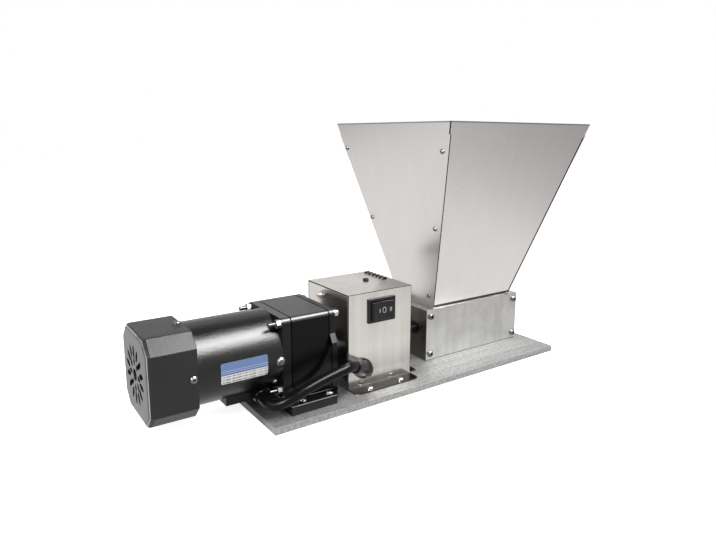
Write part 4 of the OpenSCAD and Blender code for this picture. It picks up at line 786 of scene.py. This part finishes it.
# one entry for each node, with sizes in mm: piece name, material, size of its rounding, and
# rings in the rounding; trim is a second material, and marks says where it goes, a number for
# cut edges of up to that width; inner is for a panel's inside; screws are all dark above
# darkAbove; the louvre hoods above hoodsAbove aren't rounded, nor is what lies within plainRound
# of the motor's axis or an edge under plainUnder long; edges shade sharp from sharpFrom degrees
dressed = {
    "base_plate": {"piece": "basePlate", "material": "plateMetal", "edge": 0.5},
    "fan_cover": {"piece": "fanCover", "material": "coverPaint", "edge": 1.3, "rings": 3,
        "trim": "coverEnd", "marks": "ends", "plainRound": 40, "plainUnder": 3},
    "fan_cover_screws": {"piece": "fanCoverScrews", "material": "screwDull", "edge": 0.35,
        "trim": "seamDark", "marks": "sockets"},
    "cooling_fan": {"piece": "coolingFan", "material": "fanPlastic", "edge": 0.3},
    "motor_housing": {"piece": "motorHousing", "material": "motorPaint", "edge": 0.4},
    "rear_end_shield": {"piece": "rearEndShield", "material": "castMetal", "edge": 0.6},
    "motor_end_flange": {"piece": "motorEndFlange", "material": "flangePaint", "edge": 0.8,
        "trim": "edgeGloss", "marks": "shoulder"},
    "stator_core": {"piece": "statorCore", "material": "lamination", "edge": 0.1},
    "stator_windings": {"piece": "statorWindings", "material": "copperWire", "edge": 0.5},
    "rotor_core": {"piece": "rotorCore", "material": "lamination", "edge": 0.3},
    "rotor_shaft": {"piece": "rotorShaft", "material": "gearSteel", "edge": 0.1},
    "motor_bearings": {"piece": "motorBearings", "material": "shaftSteel", "edge": 0.3},
    "lead_exit_box": {"piece": "leadExitBox", "material": "bracketPaint", "edge": 1.0},
    "lead_gland": {"piece": "leadGland", "material": "blackRubber", "edge": 0.6},
    "nameplate": {"piece": "nameplateFoil", "material": "label", "edge": 0.08},
    "motor_side_screws": {"piece": "motorSideScrews", "material": "screwDull", "edge": 0.35,
        "trim": "seamDark", "marks": "sockets"},
    "gearbox_housing": {"piece": "gearboxHousing", "material": "gearboxPaint", "edge": 0.8,
        "trim": "edgeGloss", "marks": "shoulder"},
    "gearbox_mid_plate": {"piece": "gearboxMidPlate", "material": "castMetal", "edge": 0.3},
    "through_bolts": {"piece": "throughBolts", "material": "boltZinc", "edge": 0.35,
        "trim": "seamDark", "marks": "sockets"},
    "through_nuts": {"piece": "throughNuts", "material": "screwDull", "edge": 0.4},
    "intermediate_gear": {"piece": "intermediateGear", "material": "gearSteel", "edge": 0.1},
    "output_gear": {"piece": "outputGear", "material": "gearSteel", "edge": 0.1},
    "output_shaft": {"piece": "outputShaft", "material": "shaftSteel", "edge": 0.5},
    "output_bearing": {"piece": "outputBearing", "material": "shaftSteel", "edge": 0.4},
    "shaft_seal": {"piece": "shaftSeal", "material": "blackRubber", "edge": 0.3},
    "mounting_bracket": {"piece": "mountingBracket", "material": "bracketPaint", "edge": 0.9,
        "trim": "bracketEdge", "marks": "shoulder"},
    "foot_bolts": {"piece": "footBolts", "material": "screwZinc", "edge": 0.35,
        "trim": "seamDark", "marks": "sockets"},
    "coupling_motor_hub": {"piece": "couplingMotorHub", "material": "castMetal", "edge": 0.4},
    "coupling_mill_hub": {"piece": "couplingMillHub", "material": "castMetal", "edge": 0.4},
    "coupling_spider": {"piece": "couplingSpider", "material": "redRubber", "edge": 0.5},
    "coupling_set_screws": {"piece": "couplingSetScrews", "material": "screwDark", "edge": 0.15},
    "box_cover": {"piece": "boxCover", "material": "boxSteel", "edge": 0.5, "sharpFrom": 20,
        "trim": "seamDark", "marks": 1.7, "hoodsAbove": 126.6},
    "box_left_panel": {"piece": "boxLeftPanel", "material": "boxSteel", "edge": 0.25},
    "box_right_panel": {"piece": "boxRightPanel", "material": "boxSteel", "edge": 0.25},
    "box_screws": {"piece": "boxScrews", "material": "screwZinc", "edge": 0.35,
        "trim": "seamDark", "marks": "sockets", "darkAbove": 120},
    "switch_housing": {"piece": "switchHousing", "material": "blackPlastic", "edge": 0.35},
    "switch_rocker": {"piece": "switchRocker", "material": "blackPlastic", "edge": 0.6, "rings": 3},
    "switch_terminals": {"piece": "switchTerminals", "material": "terminalBrass", "edge": 0.1},
    "lead_boot": {"piece": "leadBoot", "material": "blackRubber", "edge": 0.5},
    "mains_gland": {"piece": "mainsGland", "material": "blackPlastic", "edge": 0.4},
    "run_capacitor": {"piece": "runCapacitor", "material": "whitePlastic", "edge": 0.8},
    "capacitor_clamp": {"piece": "capacitorClamp", "material": "screwZinc", "edge": 0.2},
    "mill_front_plate": {"piece": "millFrontPlate", "material": "millSteel", "edge": 0.5,
        "trim": "endSteel", "marks": "ends"},
    "mill_rear_plate": {"piece": "millRearPlate", "material": "millSteel", "edge": 0.5,
        "trim": "endSteel", "marks": "ends"},
    "mill_left_plate": {"piece": "millLeftPlate", "material": "millSteel", "edge": 0.4,
        "trim": "endSteel", "marks": "ends"},
    "mill_right_plate": {"piece": "millRightPlate", "material": "millSteel", "edge": 0.4,
        "trim": "endSteel", "marks": "ends"},
    "mill_screws": {"piece": "millScrews", "material": "screwGrey", "edge": 0.4,
        "trim": "seamDark", "marks": "sockets"},
    "driven_roller": {"piece": "drivenRoller", "material": "rollerSteel", "edge": 0.12},
    "idle_roller": {"piece": "idleRoller", "material": "rollerSteel", "edge": 0.12},
    "roller_bushes": {"piece": "rollerBushes", "material": "rollerSteel", "edge": 0.4},
    "left_gap_adjuster": {"piece": "leftGapAdjuster", "material": "knobPaint", "edge": 0.4},
    "right_gap_adjuster": {"piece": "rightGapAdjuster", "material": "knobPaint", "edge": 0.4},
    "adjuster_lock_screws": {"piece": "adjusterLockScrews", "material": "screwDark", "edge": 0.15},
    "hopper_front_panel": {"piece": "hopperFrontPanel", "material": "hopperFrontSteel", "edge": 0.2,
        "trim": "seamDark", "marks": 1.4, "inner": "hopperSteel"},
    "hopper_rear_panel": {"piece": "hopperRearPanel", "material": "hopperFrontSteel", "edge": 0.2,
        "trim": "seamDark", "marks": 1.4, "inner": "hopperSteel"},
    "hopper_left_panel": {"piece": "hopperLeftPanel", "material": "hopperSteel", "edge": 0.2,
        "trim": "seamDark", "marks": 1.4},
    "hopper_right_panel": {"piece": "hopperRightPanel", "material": "hopperSteel", "edge": 0.2,
        "trim": "seamDark", "marks": 1.4},
    "hopper_screws": {"piece": "hopperScrews", "material": "screwDull", "edge": 0.3,
        "trim": "seamDark", "marks": "sockets"},
}


def dressNodes():
    for node, look in dressed.items():
        shape = roundedShape(node, look)
        used = [look[key] for key in ("material", "trim", "inner") if key in look]
        piece = finishPiece(look["piece"], shape, used, bodyOf[node], slotOf[node], (node,),
                            look.get("sharpFrom", shaping["sharpFrom"]))
        weightNormals(piece)


dressNodes()
print("nodes dressed:", len(dressed))


# motor lead: one sleeved lead from the gland under the motor to the boot on the box, in mm; its
# last step follows the heading, and curveToChords is how its length compares with the straight
# lines between its points
motorLead = {
    "diameter": 12.5,
    "start": (-219, -51, 24.5),
    "route": [
        (-219, -59, 24.5), (-217.9, -69, 23), (-213.2, -77.3, 22.8), (-205.4, -83.8, 26.2),
        (-195.3, -87.4, 31.2), (-184, -88.6, 35.8), (-172.5, -89, 39.4), (-161, -89.3, 42.7),
        (-149.5, -89.8, 45.6), (-138, -90.2, 48.1), (-127, -89.3, 49.6)],
    "end": (-109.472, -80.025, 43.788),
    "heading": (-0.75705, -0.49373, 0.4279),
    "lastStep": 9,
    "curveToChords": 1.004,
}


def leadPoints():
    end = Vector(motorLead["end"])
    last = end + motorLead["lastStep"] * Vector(motorLead["heading"])
    points = [motorLead["start"], *motorLead["route"], last, end]
    return [Vector(point) * mm for point in points]


def addLead():
    points = leadPoints()
    data = bpy.data.curves.new("motorLead", "CURVE")
    data.dimensions = "3D"
    data.resolution_u = 8
    data.bevel_depth = motorLead["diameter"] * mm / 2
    data.bevel_resolution = 6
    data.use_fill_caps = True
    spline = data.splines.new("BEZIER")
    spline.bezier_points.add(len(points) - 1)
    for index, (knot, point) in enumerate(zip(spline.bezier_points, points)):
        before = points[max(index - 1, 0)]
        after = points[min(index + 1, len(points) - 1)]
        reach = (after - before) / 6
        knot.co = point
        knot.handle_left_type = knot.handle_right_type = "FREE"
        knot.handle_left = point - reach
        knot.handle_right = point + reach
    data.materials.append(materials["sleeve"])
    piece = bpy.data.objects.new("motorLead", data)
    bpy.context.scene.collection.objects.link(piece)
    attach(piece, "frame")
    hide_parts("motor_lead")


addLead()
print("lead laid")


# white marks on the rocker, in mm: the places of I, O and II along X, and the face they lie on,
# a shallow V from front at the rocker's ends to dish deep at its middle
rockerMarks = {
    "x": (-68.5, -61.3, -52.4),
    "z": 103,
    "front": -72.0,
    "dish": 2.2,
    "height": 5.0,
    "stroke": 0.5,
    "apart": 1.8,
    "ring": (5.2, 7.6),
    "ringSides": 32,
    "lift": 0.15,
    "depth": 0.4,
    "ringDepth": 0.3,
}


def faceAt(x):
    # just proud of the rocker's face
    left, right = endsOf("switch_rocker", "X")
    inwards = 1 - abs(x - (left + right) / 2) / ((right - left) / 2)
    return rockerMarks["front"] + inwards * rockerMarks["dish"] - rockerMarks["lift"]


def addStroke(shape, x):
    marks = rockerMarks
    size = Vector((marks["stroke"], marks["depth"], marks["height"])) * mm
    place = Vector((x, faceAt(x) + marks["depth"] / 2, marks["z"])) * mm
    made = bmesh.ops.create_cube(shape, size=1)["verts"]
    bmesh.ops.scale(shape, vec=size, verts=made)
    bmesh.ops.translate(shape, vec=place, verts=made)


def addRing(shape, x):
    marks = rockerMarks
    wide, tall = marks["ring"]
    centre = Vector((x, faceAt(x), marks["z"])) * mm
    outer = bmesh.ops.create_circle(shape, segments=marks["ringSides"], radius=0.5 * mm)["verts"]
    bmesh.ops.scale(shape, vec=(wide, tall, 1), verts=outer)
    bmesh.ops.rotate(shape, matrix=Matrix.Rotation(math.radians(90), 3, "X"), verts=outer)
    bmesh.ops.translate(shape, vec=centre, verts=outer)
    edges = list({edge for vert in outer for edge in vert.link_edges})
    grown = bmesh.ops.extrude_edge_only(shape, edges=edges)["geom"]
    inner = [item for item in grown if isinstance(item, bmesh.types.BMVert)]
    inset = (1 - 2 * marks["stroke"] / wide, 1, 1 - 2 * marks["stroke"] / tall)
    bmesh.ops.scale(shape, vec=inset, verts=inner, space=Matrix.Translation(-centre))
    faces = [item for item in grown if isinstance(item, bmesh.types.BMFace)]
    bmesh.ops.solidify(shape, geom=faces, thickness=marks["ringDepth"] * mm)


def addRockerMarks():
    shape = bmesh.new()
    one, nought, two = rockerMarks["x"]
    addStroke(shape, one)
    for side in (-1, 1):
        addStroke(shape, two + side * rockerMarks["apart"] / 2)
    addRing(shape, nought)
    finishPiece("rockerMarks", shape, ["markWhite"], "rocker", slotOf["switch_rocker"])


addRockerMarks()
print("rocker marked")


# studio: pale floor, plain world and soft lamps; backdrop is what metal mirrors of the world,
# from the horizon to straight up, and floorFall what it mirrors of the floor, from the bright
# spot to floorReach metres away
studio = {
    "floorSize": 12.0,
    "floorColor": (0.85, 0.85, 0.85),
    "floorGlow": 0.8,
    "brightSpot": (-0.25, 0.35, 0),
    "floorReach": 2,
    "floorFall": [
        (0.0, (1, 0.985, 0.975)), (0.42, (0.97, 0.955, 0.945)), (0.52, (0.72, 0.705, 0.7)),
        (0.72, (0.46, 0.45, 0.44)), (1.0, (0.4, 0.4, 0.4))],
    "daylight": (0.6, 0.6, 0.6),
    "backdrop": [
        (0.0, (1, 0.99, 0.98)), (0.32, (1, 0.99, 0.98)), (0.55, (0.4, 0.4, 0.4)),
        (1.0, (0.14, 0.14, 0.14))],
    "lamps": [
        {"name": "keyStrip", "aim": (-0.22, 0, 0.07), "from": (0.24, -0.64, 1.12),
         "size": (1.0, 0.65), "power": 64, "glossOnly": True},
        {"name": "frontFill", "aim": (0, 0, 0.1), "from": (-0.5, -1.1, 1.2),
         "size": (1.2, 0.8), "power": 9.5, "diffuseOnly": True},
        {"name": "edgeBox", "aim": (-0.3, -0.06, 0.1), "from": (-1.5, -0.7, 0.9),
         "size": (0.5, 0.5), "power": 30, "glossOnly": True},
        {"name": "leftBox", "aim": (-0.25, 0, 0.08), "from": (-1.6, -0.5, 0.9),
         "size": (0.7, 0.7), "power": 6},
        {"name": "backBox", "aim": (0, 0, 0.1), "from": (0.1, 1.1, 1.3),
         "size": (1.6, 0.7), "power": 3},
    ],
}


def rayKind(wire, name):
    return wire.make("ShaderNodeLightPath", output=name)


def addWorld(scene):
    world = bpy.data.worlds.new("studio")
    scene.world = world
    world.use_nodes = True
    wire = Wire(world.node_tree)
    upward = along(wire, wire.make("ShaderNodeTexCoord", output="Generated"), "Z")
    backdrop = wire.make("ShaderNodeValToRGB", {"stops": studio["backdrop"]}, {"Fac": upward})
    mirrored = rayKind(wire, "Is Glossy Ray") + rayKind(wire, "Is Transmission Ray")
    light = blend(wire, mirrored, studio["daylight"], backdrop)
    shown = blend(wire, rayKind(wire, "Is Camera Ray"), light, (1, 1, 1))
    wire.fill(world.node_tree.nodes["Background"], {"Color": shown})


def floorPaper():
    # white to the camera but for a faint shadow; in reflections it darkens away from the object
    material = bpy.data.materials.new("floorPaper")
    material.use_nodes = True
    tree = material.node_tree
    tree.nodes.remove(tree.nodes["Principled BSDF"])
    wire = Wire(tree)
    paper = wire.make("ShaderNodeBsdfDiffuse", None, {"Color": (*studio["floorColor"], 1)})
    glow = wire.make("ShaderNodeEmission", None,
                     {"Strength": rayKind(wire, "Is Camera Ray") * studio["floorGlow"]})
    seen = wire.make("ShaderNodeAddShader", None, {0: paper, 1: glow})
    place = wire.make("ShaderNodeTexCoord", output="Object")
    far = wire.make("ShaderNodeVectorMath", {"operation": "DISTANCE"},
                    {0: place, 1: studio["brightSpot"]}, "Value")
    fall = wire.make("ShaderNodeValToRGB", {"stops": studio["floorFall"]},
                     {"Fac": far * (1 / studio["floorReach"])})
    mirrored = wire.make("ShaderNodeEmission", None, {"Color": fall, "Strength": 1})
    mixed = wire.make("ShaderNodeMixShader", None,
                      {0: rayKind(wire, "Is Glossy Ray"), 1: seen, 2: mirrored})
    wire.fill(tree.nodes["Material Output"], {"Surface": mixed})
    return material


def addFloor(scene):
    shape = bmesh.new()
    bmesh.ops.create_grid(shape, x_segments=1, y_segments=1, size=studio["floorSize"] / 2)
    data = bpy.data.meshes.new("floor")
    shape.to_mesh(data)
    shape.free()
    data.materials.append(floorPaper())
    floor = bpy.data.objects.new("floor", data)
    scene.collection.objects.link(floor)


def addLamp(scene, lamp):
    light = bpy.data.lights.new(lamp["name"], "AREA")
    light.shape = "RECTANGLE"
    light.size, light.size_y = lamp["size"]
    light.energy = lamp["power"]
    holder = bpy.data.objects.new(lamp["name"], light)
    place = Vector(lamp["from"])
    aim = Vector(lamp["aim"]) - place
    holder.matrix_world = Matrix.Translation(place) @ aim.to_track_quat("-Z", "Y").to_matrix().to_4x4()
    holder.visible_diffuse = "glossOnly" not in lamp
    holder.visible_glossy = "diffuseOnly" not in lamp
    scene.collection.objects.link(holder)


def addStudio():
    scene = bpy.context.scene
    scene.view_settings.view_transform = "Standard"
    addWorld(scene)
    addFloor(scene)
    for lamp in studio["lamps"]:
        addLamp(scene, lamp)


addStudio()
print("studio lit")
